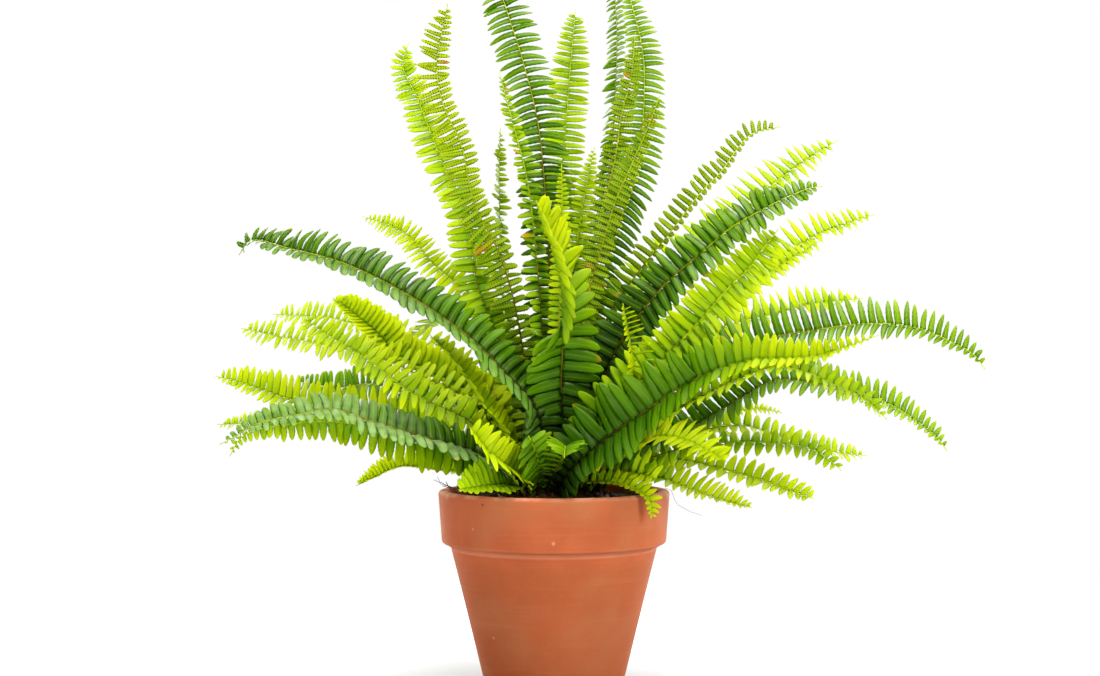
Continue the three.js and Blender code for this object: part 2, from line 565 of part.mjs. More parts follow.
// The corners of one leaflet between two stations, on the side that hand gives: 1 or -1.
function leafletAt(frond, from, to, hand, bend, size) {
  const edge = hand > 0 ? 'right' : 'left';
  const lowest = frond.stations[frond.firstLeaf].mark;
  const reach = (to.mark - lowest) / (1 - lowest);
  const sweep = THREE.MathUtils.degToRad(LEAFLET.sweep + LEAFLET.tipSweep * reach * reach);
  const fold = THREE.MathUtils.degToRad(frond.fold + bend);
  const pitch = from.centre.distanceTo(to.centre);
  const roomAtBend = (LEAFLET.bendRoom * pitch) / Math.max(from.along.angleTo(to.along), 0.01);
  const length = Math.min(leafletLength(frond, reach) * size, roomAtBend);
  const middle = from[edge].clone().add(to[edge]).multiplyScalar(0.5);
  const along = from.along.clone().add(to.along).normalize();
  const up = from.up.clone().add(to.up).normalize();
  const side = along.clone().cross(up).multiplyScalar(hand);
  const flat = side.multiplyScalar(Math.cos(sweep)).addScaledVector(along, Math.sin(sweep));
  const out = flat.multiplyScalar(Math.cos(fold)).addScaledVector(up, Math.sin(fold)).normalize();
  const width = along.clone().addScaledVector(out, -along.dot(out)).normalize();
  const below = out.clone().cross(width).multiplyScalar(-hand);
  const end = middle.addScaledVector(out, length);
  const half = 0.5 * LEAFLET.end * Math.min(pitch, 0.8 * length + 4);
  return {
    far: end.clone().addScaledVector(width, half),
    near: end.clone().addScaledVector(width, -half).addScaledVector(out, -LEAFLET.slant * length),
    keel: end.clone().addScaledVector(below, LEAFLET.keel).addScaledVector(out, -0.1 * length),
  };
}

// A leaflet's middle layer, for distances.
function leafletOutline(frond, from, to, hand, leaflet) {
  const edge = hand > 0 ? 'right' : 'left';
  const start = from[edge].clone().add(from.keel).multiplyScalar(0.5);
  const stop = to[edge].clone().add(to.keel).multiplyScalar(0.5);
  const corners = [start, leaflet.near, leaflet.far, stop];
  return outline(frond.index, LEAFLET.half, corners, [[0, 1, 2], [0, 2, 3]]);
}

// Sets every leaflet where it meets no other frond, the nearest fronds first.
function setLeaflets(fronds) {
  const space = new Neighbours(LEAFLET_CELL);
  for (const frond of fronds) {
    for (let i = 0; i + 1 < frond.stations.length; i++) {
      const ends = [frond.stations[i].centre, frond.stations[i + 1].centre];
      space.add(outline(frond.index, 0.62 * frond.stations[i].width, ends, []));
    }
  }
  const depth = (frond) => frond.path.reduce((sum, point) => sum + point.y, 0) / frond.path.length;
  for (const frond of [...fronds].sort((a, b) => depth(a) - depth(b))) {
    const draw = makeDraws(frond.index + 1);
    frond.leaflets = [];
    for (let i = frond.firstLeaf; i + 1 < frond.stations.length; i++) {
      for (const hand of [1, -1]) {
        const wander = LEAFLET.wander * draw();
        frond.leaflets.push(freeLeaflet(frond, i, hand, wander, space));
      }
    }
  }
}

// The longest and least bent leaflet that fits at a station, or null.
function freeLeaflet(frond, i, hand, wander, space) {
  const from = frond.stations[i];
  const to = frond.stations[i + 1];
  for (const size of SHORTER) {
    for (const bend of BENDS) {
      const leaflet = leafletAt(frond, from, to, hand, bend + wander, size);
      const shape = leafletOutline(frond, from, to, hand, leaflet);
      const probes = [leaflet.near, leaflet.far, leaflet.keel.clone().lerp(from.centre, 0.4)];
      if (probes.some(inPot)) continue;
      if ([...space.near(shape)].some((other) => meet(shape, other))) continue;
      space.add(shape);
      return leaflet;
    }
  }
  return null;
}

// One closed body for a frond: the rib's faces, with a leaflet in place of each side face.
function frondGeometry(frond) {
  const { stations, leaflets, firstLeaf, tip } = frond;
  const positions = [];
  const face = (...corners) => {
    for (let i = 1; i + 1 < corners.length; i++) {
      for (const corner of [corners[0], corners[i], corners[i + 1]]) positions.push(...corner);
    }
  };
  const first = stations[0];
  face(first.left, first.keel, first.right);
  for (let i = 0; i + 1 < stations.length; i++) {
    const a = stations[i];
    const b = stations[i + 1];
    const at = 2 * (i - firstLeaf);
    const [right, left] = i < firstLeaf ? [null, null] : [leaflets[at], leaflets[at + 1]];
    face(a.left, a.right, b.right, b.left);
    if (right) {
      face(a.right, right.near, right.far, b.right);
      face(a.keel, b.keel, right.keel);
      face(a.right, a.keel, right.keel, right.near);
      face(b.right, right.far, right.keel, b.keel);
      face(right.near, right.keel, right.far);
    } else {
      face(a.right, a.keel, b.keel, b.right);
    }
    if (left) {
      face(a.left, b.left, left.far, left.near);
      face(a.keel, left.keel, b.keel);
      face(a.left, left.near, left.keel, a.keel);
      face(b.left, b.keel, left.keel, left.far);
      face(left.near, left.far, left.keel);
    } else {
      face(a.left, b.left, b.keel, a.keel);
    }
  }
  const last = stations.at(-1);
  face(last.left, last.right, tip);
  face(last.right, last.keel, tip);
  face(last.keel, last.left, tip);
  const geometry = new THREE.BufferGeometry();
  geometry.setAttribute('position', new THREE.Float32BufferAttribute(positions, 3));
  return geometry;
}

// A closed geometry as a solid that can be cut.
function toSolid(wasm, geometry) {
  const bare = geometry.clone();
  bare.deleteAttribute('normal');
  bare.deleteAttribute('uv');
  const merged = mergeVertices(bare, 1e-4);
  const mesh = new wasm.Mesh({
    numProp: 3,
    vertProperties: new Float32Array(merged.attributes.position.array),
    triVerts: new Uint32Array(merged.index.array),
  });
  return new wasm.Manifold(mesh);
}

function toGeometry(solid) {
  const mesh = solid.getMesh();
  const geometry = new THREE.BufferGeometry();
  geometry.setAttribute('position', new THREE.BufferAttribute(mesh.vertProperties, 3));
  geometry.setIndex(new THREE.BufferAttribute(mesh.triVerts, 1));
  return geometry;
}

// The rootstock with a plain socket for the foot of every frond.
function socketedCrown(wasm, fronds) {
  const upright = new THREE.Vector3(0, 0, 1);
  let crown = toSolid(wasm, makeCrown());
  for (const frond of fronds) {
    const length = SOCKET.depth + 12;
    const socket = new THREE.CylinderGeometry(SOCKET.radius, SOCKET.radius, length, SOCKET.sides);
    socket.rotateX(Math.PI / 2).translate(0, 0, length / 2 - SOCKET.depth);
    socket.applyQuaternion(new THREE.Quaternion().setFromUnitVectors(upright, frond.lean));
    socket.translate(...frond.root);
    crown = crown.subtract(toSolid(wasm, socket));
  }
  return toGeometry(crown);
}

const wasm = await Module();
wasm.setup();

const fronds = rootFronds();
easeApart(fronds);
fronds.forEach(setStations);
setLeaflets(fronds);

const plant = new THREE.Group();

function add(name, geometry, look) {
  const mesh = new THREE.Mesh(geometry, look);
  mesh.name = name;
  plant.add(mesh);
}

add('pot', makePot(), material(0xc76a41, 0.85));
add('soil', makeSoil(), material(0x2e241c, 1));
add('rootstock', socketedCrown(wasm, fronds), material(0x4a3a28, 0.95));
for (const frond of fronds) {
  const green = NEW_GREEN.clone().lerp(OLD_GREEN, frond.age);
  const name = `frond_${String(frond.index + 1).padStart(2, '0')}`;
  add(name, frondGeometry(frond), material(green, 0.5));
}

export default plant;
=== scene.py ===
"""A fern in a terracotta flower pot, with its finished surfaces.

Shapes are worked out in millimetres, +Z up, from the middle of the pot's foot, and SCALE
takes them to metres. Each fine frond stands where the frame's plain frond stands.
"""
import math
from functools import partialmethod
from types import SimpleNamespace as Values

import bmesh
import bpy
import numpy as np
from mathutils import Matrix, Vector


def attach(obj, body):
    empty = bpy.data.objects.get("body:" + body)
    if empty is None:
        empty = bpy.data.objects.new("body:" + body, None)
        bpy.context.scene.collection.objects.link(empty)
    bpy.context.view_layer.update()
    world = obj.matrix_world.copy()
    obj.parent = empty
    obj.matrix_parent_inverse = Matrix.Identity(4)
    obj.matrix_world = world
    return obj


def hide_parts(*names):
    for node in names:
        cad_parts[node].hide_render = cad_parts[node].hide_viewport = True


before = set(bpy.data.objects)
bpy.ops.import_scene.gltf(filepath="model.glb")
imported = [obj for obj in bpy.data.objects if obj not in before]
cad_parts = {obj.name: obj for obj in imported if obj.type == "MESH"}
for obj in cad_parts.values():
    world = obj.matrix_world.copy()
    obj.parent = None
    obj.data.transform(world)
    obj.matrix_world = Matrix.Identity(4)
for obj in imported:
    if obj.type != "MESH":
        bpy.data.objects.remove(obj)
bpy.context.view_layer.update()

SCALE = 0.001  # metres in a millimetre
ROUND = 2 * math.pi  # a full turn

# The photograph's camera, in millimetres and degrees.
EYE = np.array([-3.1, -1290.0, 252.0])
SENSOR = 36.0
FRAME_WIDTH = 1100  # the photograph's pixels
FOCAL = 1645  # in the photograph's pixels
PITCH = 1.01  # how far the camera looks up
NEAR_CLIP = 0.05  # in metres

# The pot, the soil and the rootstock, sized as the frame's plain ones.
POT = Values(foot=53.0, neck=80.5, neck_height=112.0, band=87.7, rim=90.3, height=156.0, wall=8.3,
             floor=9.0, drain=9.5)
POT_SLOPE = (POT.neck - POT.foot) / POT.neck_height
LIP = 3.0  # rounding of the band's edges
GAP = 0.35  # air between pieces that sit on each other
SOIL = Values(edge=146.0, mound=5.0, lumps=1.1, bits=700)
CROWN = Values(radius=44.0, base=138.0, shoulder=152.0, height=160.0, lumps=0.7, scales=700)
SOCKET_DEPTH = 8.0  # how far a frond's foot is sunk into the rootstock
CLOSED = 0.05  # a turned profile that ends nearer to the axis than this is closed there

# The rules that the fronds' ribs follow, the same as for the frame's plain ones.
RINGS = [(8.0, 0.1), (17.0, 0.25), (26.0, 0.5), (35.0, 0.8)]  # radius and lean
ROOT_PITCH = 7.6  # least distance between two fronds on one ring
ROOT_ROUNDS = 400
RIB = Values(room=5.2, step=5.0, base=0.8, tip=0.32, swell=0.7, sides=8, groove=0.25)
SWELLING = (8, 30)  # the millimetres from a rib's foot in which its swelling ends
SEAT = (0.4, 0.35)  # how far out and up in the rib a leaflet starts, for the rib's radius
STRAIGHT = 11.0  # straight rib above the rootstock
NEAREST = 15.0  # a noted point nearer than this to the straight rib is passed over
BARE = 32.0  # rib below a plain frond's first leaflet, or
BARE_SHARE = 0.4  # this share of a short frond
TWIST = (0.35, 0.8)  # between these marks a frond turns from its face to its tip_face
# How ribs that come nearer than RIB.room are eased apart: rounds and the share of the lack that
# one makes up, the points at a foot that are evened out and by what share, how near counts as
# touching, and after how many rounds near ribs are looked for again.
EASE = Values(rounds=90, push=0.5, foot=18, relax=0.2, touching=0.05, renew=5)

# The fine leaflets. Their spacing grows with the frond's longest leaflet.
LEAFLET = Values(bare=8.0, pitch=4.0, pitch_by_leaf=0.125, closing=0.36, offset=0.45, last=0.995,
                 thick=0.35, young_width=1.0, old_width=0.98, least=2.2, lowest=0.62, below=0.3,
                 below_reach=0.12, full_reach=0.25, sweep=1.0, sweep_wander=3.0, fold_wander=5.0,
                 turn=-10.0, turn_wander=7.0, sag=0.10, tooth=0.045, ridge=0.1)
# Half a leaflet's width is (1 - u ** a) ** b at the share u of its length, with one pair of a and
# b for a blunt leaflet and one for a pointed leaflet.
OUTLINE = Values(new=((3.6, 0.75), (1.7, 0.9)), old=((5.5, 0.6), (2.4, 0.8)))
EAR = Values(size=0.22, place=0.07, spread=0.06, foot=0.08, foot_end=0.12)
COLUMNS = np.array([-1.0, -0.5, 0.0, 0.5, 1.0])
ROWS = [(13.0, 12), (7.0, 9), (0.0, 6)]  # a leaflet longer than this has so many rows
# How one row of a frond may differ from the other.
ROW = dict(fold=0, tip_fold=0, sweep=0, tip_lean=0, turn=0, tip_turn=0, length=1, tip_length=1,
           tip_width=1)
UPPER = (0.54, 0.62)  # between these marks the tip_ values of a row set in
# How the row that points down differs, for a row that points straight down.
HANGING = dict(fold=16.0, foot_fold=0.0, sweep=-22.0, sag=0.06, length=0.85, foot_length=1.0)
# What most fronds share.
FROND = dict(broad=1.0, point=0.0, taper=9.0, sweep=0.0, tip_sweep=18.0, hook=0.06, wander=1.0,
             sori=0.0, dry=0.0, bloom=0.0, tip_painted_sheen=0.0, pale=0.0, left={}, right={}, hanging={})
YOUNGER = 0.72  # a tip's age for its frond's age
# How much older and darker a frond's foot is, partly real age and partly painted shade for the
# crowded middle of the plant, and the marks where its foot ends and its tip sets in.
AGEING = Values(foot=0.3, foot_ends=(0.05, 0.4), tip_starts=(0.4, 0.85))
AGE_SLOTS = [("frond_old", 0.7), ("frond_grown", 0.3), ("frond_new", -math.inf)]  # from this age


class Frond:
    """A frond's row, with what it leaves open filled in."""

    def __init__(self, ring, leaf, age, fold, face, path, **more):
        self.ring, self.leaf, self.age, self.fold, self.face = ring, leaf, age, fold, face
        self.path = np.array(path, float)
        self.pitch = LEAFLET.pitch + LEAFLET.pitch_by_leaf * leaf
        self.tip_age, self.tip_face = YOUNGER * age, face
        self.tip_broad = more.get("broad", FROND["broad"])
        for key, value in (FROND | more).items():
            setattr(self, key, value)


# One row for each frond. Its first values are its place in RINGS, its longest leaflet in
# millimetres, its age from 0 for new and yellow-green to 1 for old and dark, the degrees that
# its leaflets fold up from its face, and the way that its upper side looks.
# Then come the points that it passes, as they are seen from EYE on the upright plane through
# the pot's axis: x, z and the depth behind that plane.
# pitch is its leaflets' spacing, broad how much of it they fill, point 0 for blunt leaflets and
# 1 for pointed ones, and taper how late they get shorter. sweep is how many degrees they lean to
# the tip, tip_sweep how many more at the tip, hook how far their ends bend to it, and wander how
# unevenly they stand. sori is 1 where the underside has spore dots. dry is the share of dry
# leaflets. bloom is how much pale painted sheen, a painted reflection, the row that points
# down has, and tip_painted_sheen how much the tip has. pale is how far the whole frond is of its
# brightest yellow, painted light that lifts it. tip_age, tip_face and tip_broad hold at the
# tip. left and right change one row by the keys of ROW, and hanging changes the row that points
# down by the keys of HANGING.
UPRIGHT_FRONDS = [
    Frond(0, 22, 1.08, 8, (0.1, -1, 0.3), [(-3, 250, 10), (-3, 300, 16), (-6.6, 384, 28),
          (-12.5, 443, 38), (-24, 491, 46), (-39.6, 540, 56), (-55, 590, 66)], pitch=7.4, broad=0.86,
          point=0.45, taper=13, hook=-0.1, tip_age=0.82),
    Frond(0, 18, 0.42, 6, (0, -1, 0.2), [(5, 250, 30), (6, 330, 45), (6, 400, 60), (9.9, 447, 70),
          (12.5, 483, 78), (17, 533, 88)], broad=0.9, taper=14),
    Frond(0, 14, 0.5, 10, (0.7, -0.7, 0), [(-8, 250, 0), (-15, 350, 8), (-21.6, 402, 14), (-30, 435, 18),
          (-38.7, 467, 22), (-43, 484, 24)], broad=0.85, taper=6.5, wander=2, tip_age=0.42, sori=1,
          dry=0.03),
    Frond(0, 9, 0.2, 8, (0, -1, 0.2), [(3, 260, -8), (5, 320, -7), (6.4, 380, -5), (6, 411, -4)],
          taper=6.5),
    Frond(0, 13, 0.25, 8, (-0.1, -1, 0.3), [(8, 250, 24), (14, 320, 34), (18.4, 353, 38), (22, 374, 42),
          (26, 397, 46), (32, 425, 50)], taper=6.5),
    Frond(1, 20, 0.34, 6, (0.3, -1, 0.2), [(-30, 240, 22), (-48, 285, 30), (-60.5, 319, 40),
          (-67, 369, 50), (-86, 409, 62), (-107.5, 463, 78), (-119, 490, 86), (-114, 507, 90)], taper=10),
    Frond(1, 19, 0.55, 6, (-0.3, 1, 0.2), [(-20, 230, -12), (-32, 306, -20), (-44, 343, -26),
          (-63, 382, -34), (-73, 427, -44), (-88, 461, -55), (-92, 490, -62), (-83.5, 538, -74)],
          pitch=6.1, broad=0.8, taper=14, wander=2, tip_age=0.12, sori=1, dry=0.03,
          left=dict(length=0.6)),
    Frond(1, 13, 0.34, 12, (0.85, -0.5, 0), [(-30, 260, 25), (-42, 319, 34), (-42.4, 360, 38),
          (-43, 405, 42), (-42, 440, 44)], broad=0.85, taper=6.5, wander=2, sori=1, dry=0.02),
    Frond(1, 14, 1.02, 10, (-0.8, -0.6, 0), [(20, 260, 50), (40, 380, 60), (47, 440, 68), (49, 485, 74),
          (49.6, 517, 80), (44, 588, 90)], broad=0.88, point=0.5, taper=11, hook=-0.1, tip_age=0.6),
    Frond(1, 19, 1.02, 10, (0.3, -1, 0.2), [(25, 270, 22), (46, 350, 26), (55, 375, 28), (64, 400, 30),
          (70.7, 459, 34), (69.7, 501, 37), (57, 553, 40)], broad=0.88, point=0.5, taper=10, hook=-0.12,
          tip_age=0.6),
    Frond(1, 13, 0.72, 6, (0, 1, 0.2), [(22, 260, 0), (40, 380, -6), (48.6, 419, -12), (53, 449, -16),
          (61, 483, -20), (64, 515, -24)], broad=0.85, taper=6.5, wander=2, sori=1, dry=0.03),
    Frond(1, 11, 0.62, 8, (0.2, 1, 0.2), [(15, 250, -14), (30, 320, -22), (38.3, 349, -28),
          (48.7, 383, -36), (61, 411, -44), (75, 443, -54), (83, 465, -60)], broad=0.85, taper=6.5,
          wander=2, sori=1, dry=0.05),
]
LEFT_FRONDS = [
    Frond(2, 26, 1, 14, (0, -0.7, 0.7), [(-8, 212, -42), (-19, 228, -50), (-37, 246.5, -58),
          (-60, 270, -66), (-85, 289.5, -74), (-120, 311.6, -80), (-166.6, 334, -80), (-204, 344, -74),
          (-239, 351, -64), (-247, 340, -60)], broad=1.14, sweep=5, hook=-0.24, wander=0.6, tip_age=1,
          bloom=0.32, hanging=dict(fold=34, sweep=-2, sag=0, length=0.62)),
    Frond(1, 17, 0.05, 8, (0.1, -0.9, 0.4), [(-50, 290, 44), (-78, 319, 60), (-96, 334, 72),
          (-113, 354, 84), (-131, 364, 96), (-150, 370, 108)], pitch=6.6, point=0.7),
    Frond(2, 21, 0.12, 16, (0, -0.6, 0.8), [(-55, 235, 34), (-90, 262, 46), (-120, 277, 54),
          (-153.5, 285, 62), (-174, 290.5, 68), (-200, 292.5, 76), (-220, 293.5, 82)], pitch=6.8,
          broad=0.8, taper=16, sweep=-4, hanging=dict(sweep=-36)),
    Frond(2, 22, 0.12, 16, (0, -0.6, 0.8), [(-55, 218, -6), (-100, 243, -4), (-140, 260, 0),
          (-175, 268, 8), (-198, 273, 14), (-220, 277, 20), (-245, 282.5, 28)], pitch=7, broad=0.8,
          taper=16, sweep=-4, hanging=dict(sweep=-38, fold=6)),
    Frond(3, 20, 0.2, 14, (0, -0.7, 0.7), [(-60, 205, -45), (-100, 226, -40), (-117, 235, -37),
          (-133, 248, -33), (-153.5, 263, -28), (-174, 275, -22), (-198, 291.5, -14)], pitch=7.4,
          broad=0.85, taper=14, sweep=-4, hanging=dict(sweep=-36)),
    Frond(2, 24, 0.05, 14, (0.2, -0.9, 0.4), [(-45, 218, 8), (-97, 248, 16), (-125, 263, 24),
          (-137.5, 277, 30), (-155.5, 292.5, 38), (-173.6, 306.5, 46)], pitch=5.6, broad=2.2, wander=0.2,
          hanging=dict(fold=60, length=0.6, sag=0, sweep=-20)),
    Frond(2, 27, 0.08, 16, (0, -0.92, 0.4), [(-50, 190, 22), (-120, 212, 44), (-170, 218, 72),
          (-203, 225, 92), (-226, 232.6, 104), (-245.5, 239.6, 114), (-265.6, 245, 126)], pitch=8.2,
          broad=1.15, point=0.1, taper=7, sweep=12, tip_sweep=0, wander=0.4, hanging=dict(fold=20,
          length=0.42, sag=0, sweep=-10)),
    Frond(3, 16, 0.15, 14, (0, -0.6, 0.8), [(-60, 188, 50), (-120, 200, 84), (-180, 207, 112),
          (-225, 212, 128), (-245.5, 208, 134), (-264, 207, 140)], taper=14, hanging=dict(sweep=-34)),
    Frond(3, 27, 1.15, 14, (0, -0.65, 0.75), [(-42, 175, -52), (-64, 187, -66), (-92, 195, -80),
          (-117, 202, -90), (-143, 210, -100), (-173, 219, -110), (-199, 215, -118), (-231.5, 208, -126),
          (-249.6, 198, -128), (-262, 191, -130)], broad=1.05, taper=3.4, sweep=-4, tip_sweep=6,
          tip_age=0.8, bloom=0.9, tip_painted_sheen=0.48, hanging=dict(fold=24, sweep=-6, sag=-0.04, length=0.7)),
    Frond(3, 22, 0.38, 4, (0, -0.8, 0.6), [(-45, 173, -30), (-80, 187, -40), (-125, 197, -50),
          (-163, 208, -58), (-200, 208, -66), (-243.5, 198, -76), (-254, 182, -80)], taper=2.6,
          hanging=dict(fold=4, sweep=-8, sag=0.1, length=0.9)),
    Frond(3, 20, 0, 10, (0, -0.9, 0.4), [(-60, 168, 52), (-100, 173, 84), (-120, 174, 96),
          (-140, 166, 106), (-155, 159, 112)], pitch=4.6, broad=1.5, point=0.2, taper=5, wander=0.3,
          hanging=dict(fold=70, length=0.4, sag=0)),
    Frond(2, 20, 0.85, 14, (0, -0.9, 0.4), [(-50, 212, 56), (-120, 232, 96), (-144, 239, 110),
          (-168, 236, 122), (-203, 241, 136)], hanging=dict(sweep=-34)),
    Frond(2, 19, 0.1, 20, (0.6, -0.4, 0.5), [(-40, 202, -54), (-62, 232, -62), (-77, 255, -66),
          (-97, 277, -64)], pitch=5.6, broad=1.4, hanging=dict(fold=45, length=0.6, sag=0, sweep=-20)),
]
FRONT_FRONDS = [
    Frond(1, 28, 0.92, 14, (0, -1, 0.1), [(5, 190, -28), (5.5, 235, -46), (7.5, 287, -66),
          (7.5, 311, -78), (-1, 347, -98), (-6.5, 361, -106), (-14, 383, -120)], pitch=8.4, broad=1.1,
          tip_broad=1.5, sweep=-4, hook=-0.05, wander=1.2, tip_age=0.02, tip_face=(0.85, -0.5, 0.1),
          left=dict(tip_fold=25, tip_lean=-100, tip_turn=70, tip_length=0.62, tip_width=0.5),
          right=dict(length=1.1, tip_lean=26)),
    Frond(2, 17, 0.1, 10, (-0.1, -1, 0.1), [(42, 205, -66), (63, 252, -86), (60, 270, -92),
          (58, 280, -95), (54, 302, -101)], pitch=5.2, broad=0.8, left=dict(fold=62, length=0.6),
          right=dict(turn=62, fold=0, length=0.95)),
    Frond(3, 20, 0, 32, (0.45, -0.8, 0.45), [(-28, 169, -66), (-40, 177, -78), (-48, 182, -84),
          (-56, 192, -90), (-66, 205, -96)], pitch=6.2, broad=1.2, pale=0.15),
    Frond(3, 28, -0.2, 2, (0, -1, 0.35), [(-35, 161, -54), (-55, 160, -60), (-75, 156, -62)], pitch=5.2,
          broad=1.5, point=0.1, taper=3, wander=0.4, tip_age=-0.2, pale=0.95, hanging=dict(fold=55,
          length=0.5, sag=0, sweep=0)),
    Frond(3, 16, 0.8, 34, (0, -0.4, 1), [(10, 184, -74), (9, 190, -100), (8, 181, -124)]),
    Frond(3, 20, 0.95, 6, (0.2, -0.9, 0.4), [(-8, 168, -62), (-12, 182, -74), (-20, 198, -80)],
          broad=1.1),
    Frond(3, 46, 0.8, 12, (0, -0.93, 0.37), [(15, 176, -58), (40, 196, -78), (65, 213, -96),
          (94, 233, -118), (125, 249, -142), (155, 257.5, -164), (190, 259.5, -186), (210, 261.5, -196),
          (229, 268, -206), (255, 277, -216)], pitch=7.4, broad=1.32, point=0.6, taper=1.15, sweep=-8,
          hook=-0.02, tip_age=0.05, hanging=dict(fold=30, foot_fold=-24, sweep=-6, sag=0, length=0.55,
          foot_length=0.55)),
    Frond(3, 11, 0.12, 10, (0.1, -0.8, 0.6), [(26, 168, -40), (36, 168, -49), (50, 164.5, -56),
          (62, 160, -60), (70, 156.5, -64), (75, 147, -68), (76, 133.5, -69)], pitch=5.4, broad=1.25,
          point=0.2, taper=6, wander=0.5, left=dict(length=1.15), right=dict(length=0.5),
          hanging=dict(fold=30, length=0.7, sag=0, sweep=-30)),
    Frond(3, 27, 0.35, 2, (0, -1, 0.3), [(22, 170, -32), (38, 174, -38), (50, 174, -42), (62, 170, -46),
          (80, 165, -50)], pitch=6.2, broad=1.15, tip_age=0.15, pale=0.2, hanging=dict(fold=60,
          length=0.5, sag=0)),
    Frond(3, 22, 0.12, 8, (0, -0.75, 0.65), [(40, 181, -60), (70, 193, -90), (85, 198, -102),
          (105, 194, -114), (121, 186, -124), (135, 178, -132)], pitch=5.4, broad=1.1, point=0.5,
          wander=1.2, tip_age=0, hanging=dict(fold=40, length=0.6, sag=0)),
]
RIGHT_FRONDS = [
    Frond(1, 21, 0.62, 24, (0.5, 0.8, 0.1), [(35, 275, -4), (60, 318, -8), (93, 360, -14),
          (117, 391, -18), (131, 405, -20), (143, 422, -22), (155, 435, -24), (178, 441, -26)],
          broad=0.74, tip_age=0.4, sori=1, left=dict(length=0.3, fold=45)),
    Frond(1, 34, 0.2, 10, (-0.2, -0.8, 0.6), [(60, 300, 60), (110, 345, 76), (150, 375, 90),
          (168, 392, 96), (190, 409, 102), (205, 419, 106), (223, 430, 110)], pitch=9.5, broad=0.9,
          point=1.3, tip_sweep=2, hanging=dict(length=0.55)),
    Frond(2, 27, 1.2, 10, (0, -0.8, 0.6), [(20, 215, -26), (39, 247, -36), (52, 271, -42), (66, 292, -46),
          (88, 317.6, -50), (116, 342, -52), (140, 362, -52), (160, 373.5, -52), (178, 383, -50),
          (200, 392, -46), (211, 394, -44)], broad=1.12, point=0.25, taper=7, sweep=-4, tip_age=0.72,
          hanging=dict(length=0.62, sweep=-12)),
    Frond(2, 35, 0.1, 16, (0, -0.7, 0.7), [(50, 232, 26), (100, 275, 40), (150, 316, 52), (185, 342, 60),
          (203, 354, 64), (232, 365.5, 70), (252, 372, 76)], pitch=9, broad=0.92, point=1.3, taper=7,
          tip_sweep=2, hanging=dict(length=0.4)),
    Frond(2, 24, 0.08, 14, (0, -0.7, 0.7), [(45, 222, -10), (90, 262, -8), (130, 296, -2),
          (157, 317.5, 4), (172, 328, 8), (188, 338, 12), (210, 352, 20)], pitch=7.5, broad=1.1,
          point=1.2, taper=5, tip_sweep=6, hanging=dict(length=0.6)),
    Frond(2, 25, 0.35, 8, (0, -0.9, 0.45), [(30, 208, -56), (70, 245, -66), (101, 274, -70),
          (117, 291.5, -70), (137, 314, -66), (154, 331, -62), (166, 346.5, -58), (176, 360, -54)]),
    Frond(2, 31, 0.12, 16, (0, -0.65, 0.75), [(50, 222, 6), (110, 268, 14), (144, 287, 20),
          (170, 293, 24), (200, 301, 30), (228, 304.5, 36), (243, 306, 38)], pitch=9, broad=0.95,
          point=1.3, taper=6, tip_sweep=2, hanging=dict(length=0.42)),
    Frond(2, 34, 0.92, 30, (0, -0.6, 0.75), [(50, 205, -44), (100, 243, -78), (150, 268, -98),
          (180, 277, -108), (205, 281, -115), (245, 286, -126), (284, 283, -136), (315, 270, -144),
          (330, 261, -148), (338, 250, -150)], pitch=7.2, broad=0.82, point=0.8, taper=4.5, sweep=-14,
          tip_sweep=-4, wander=0.5, tip_age=0.6, hanging=dict(fold=-24, length=0.42, sag=0.06, sweep=-8)),
    Frond(3, 30, 0.75, 24, (0, -0.6, 0.8), [(50, 180, -34), (109, 206.5, -46), (136, 221.5, -52),
          (173, 241.5, -58), (207, 238, -64), (235, 231, -68), (257, 225.5, -72), (280, 212.5, -75),
          (300, 197, -78), (308, 186, -80)], pitch=6.8, broad=0.92, point=0.6, taper=4.2, sweep=-14,
          tip_sweep=-4, wander=0.5, tip_age=0.45, hanging=dict(fold=6, length=0.7, sag=0, sweep=-10)),
    Frond(3, 17, 0.25, 16, (0, -0.65, 0.75), [(50, 188, -62), (110, 226, -94), (150, 245, -110),
          (175, 252, -116), (200, 247, -118), (222, 237, -118), (240, 229, -118), (261, 211, -116)],
          pitch=7.8, point=1, taper=14, hanging=dict(fold=20, length=0.8, sag=0, sweep=-16)),
    Frond(3, 10, 0.05, 10, (0, -0.7, 0.7), [(55, 182, 22), (120, 210, 36), (150, 219, 42), (165, 219, 45),
          (179, 216, 48)], point=1),
    Frond(3, 18, 0.2, 18, (0, -0.6, 0.8), [(50, 178, 6), (100, 198, 8), (138, 206, 10), (156, 205, 12),
          (172, 199, 14), (197, 191.5, 18), (220, 185.5, 22), (245, 182.5, 26)], pitch=7.8, broad=0.92,
          point=0.4, taper=14),
    Frond(3, 15, 0.4, 6, (0, -0.7, 0.7), [(50, 172, -36), (100, 188, -46), (141, 193.5, -54),
          (165, 192.5, -58), (187, 191, -60), (203, 187, -62), (216, 179, -64), (225, 171, -66)], pitch=8,
          broad=0.92, point=0.5, taper=14),
    Frond(3, 18, 0.15, 18, (0, -0.65, 0.75), [(50, 170, -10), (80, 180, -14), (104, 179, -18),
          (127, 173.5, -24), (150, 167, -28), (175, 159, -34), (192, 152.5, -38), (204, 149, -42)],
          pitch=8, broad=0.92, point=0.4, taper=14),
    Frond(3, 24, 0.3, 8, (0, -0.65, 0.75), [(48, 166, -26), (70, 169, -32), (85, 165, -36),
          (105, 157.5, -40), (125, 150, -44), (140, 145.5, -48), (155, 142, -52)], pitch=5.9, broad=1.25,
          tip_broad=0.9, point=0.5, taper=5, tip_age=0, hanging=dict(fold=52, length=0.6, sag=0,
          sweep=-10)),
]
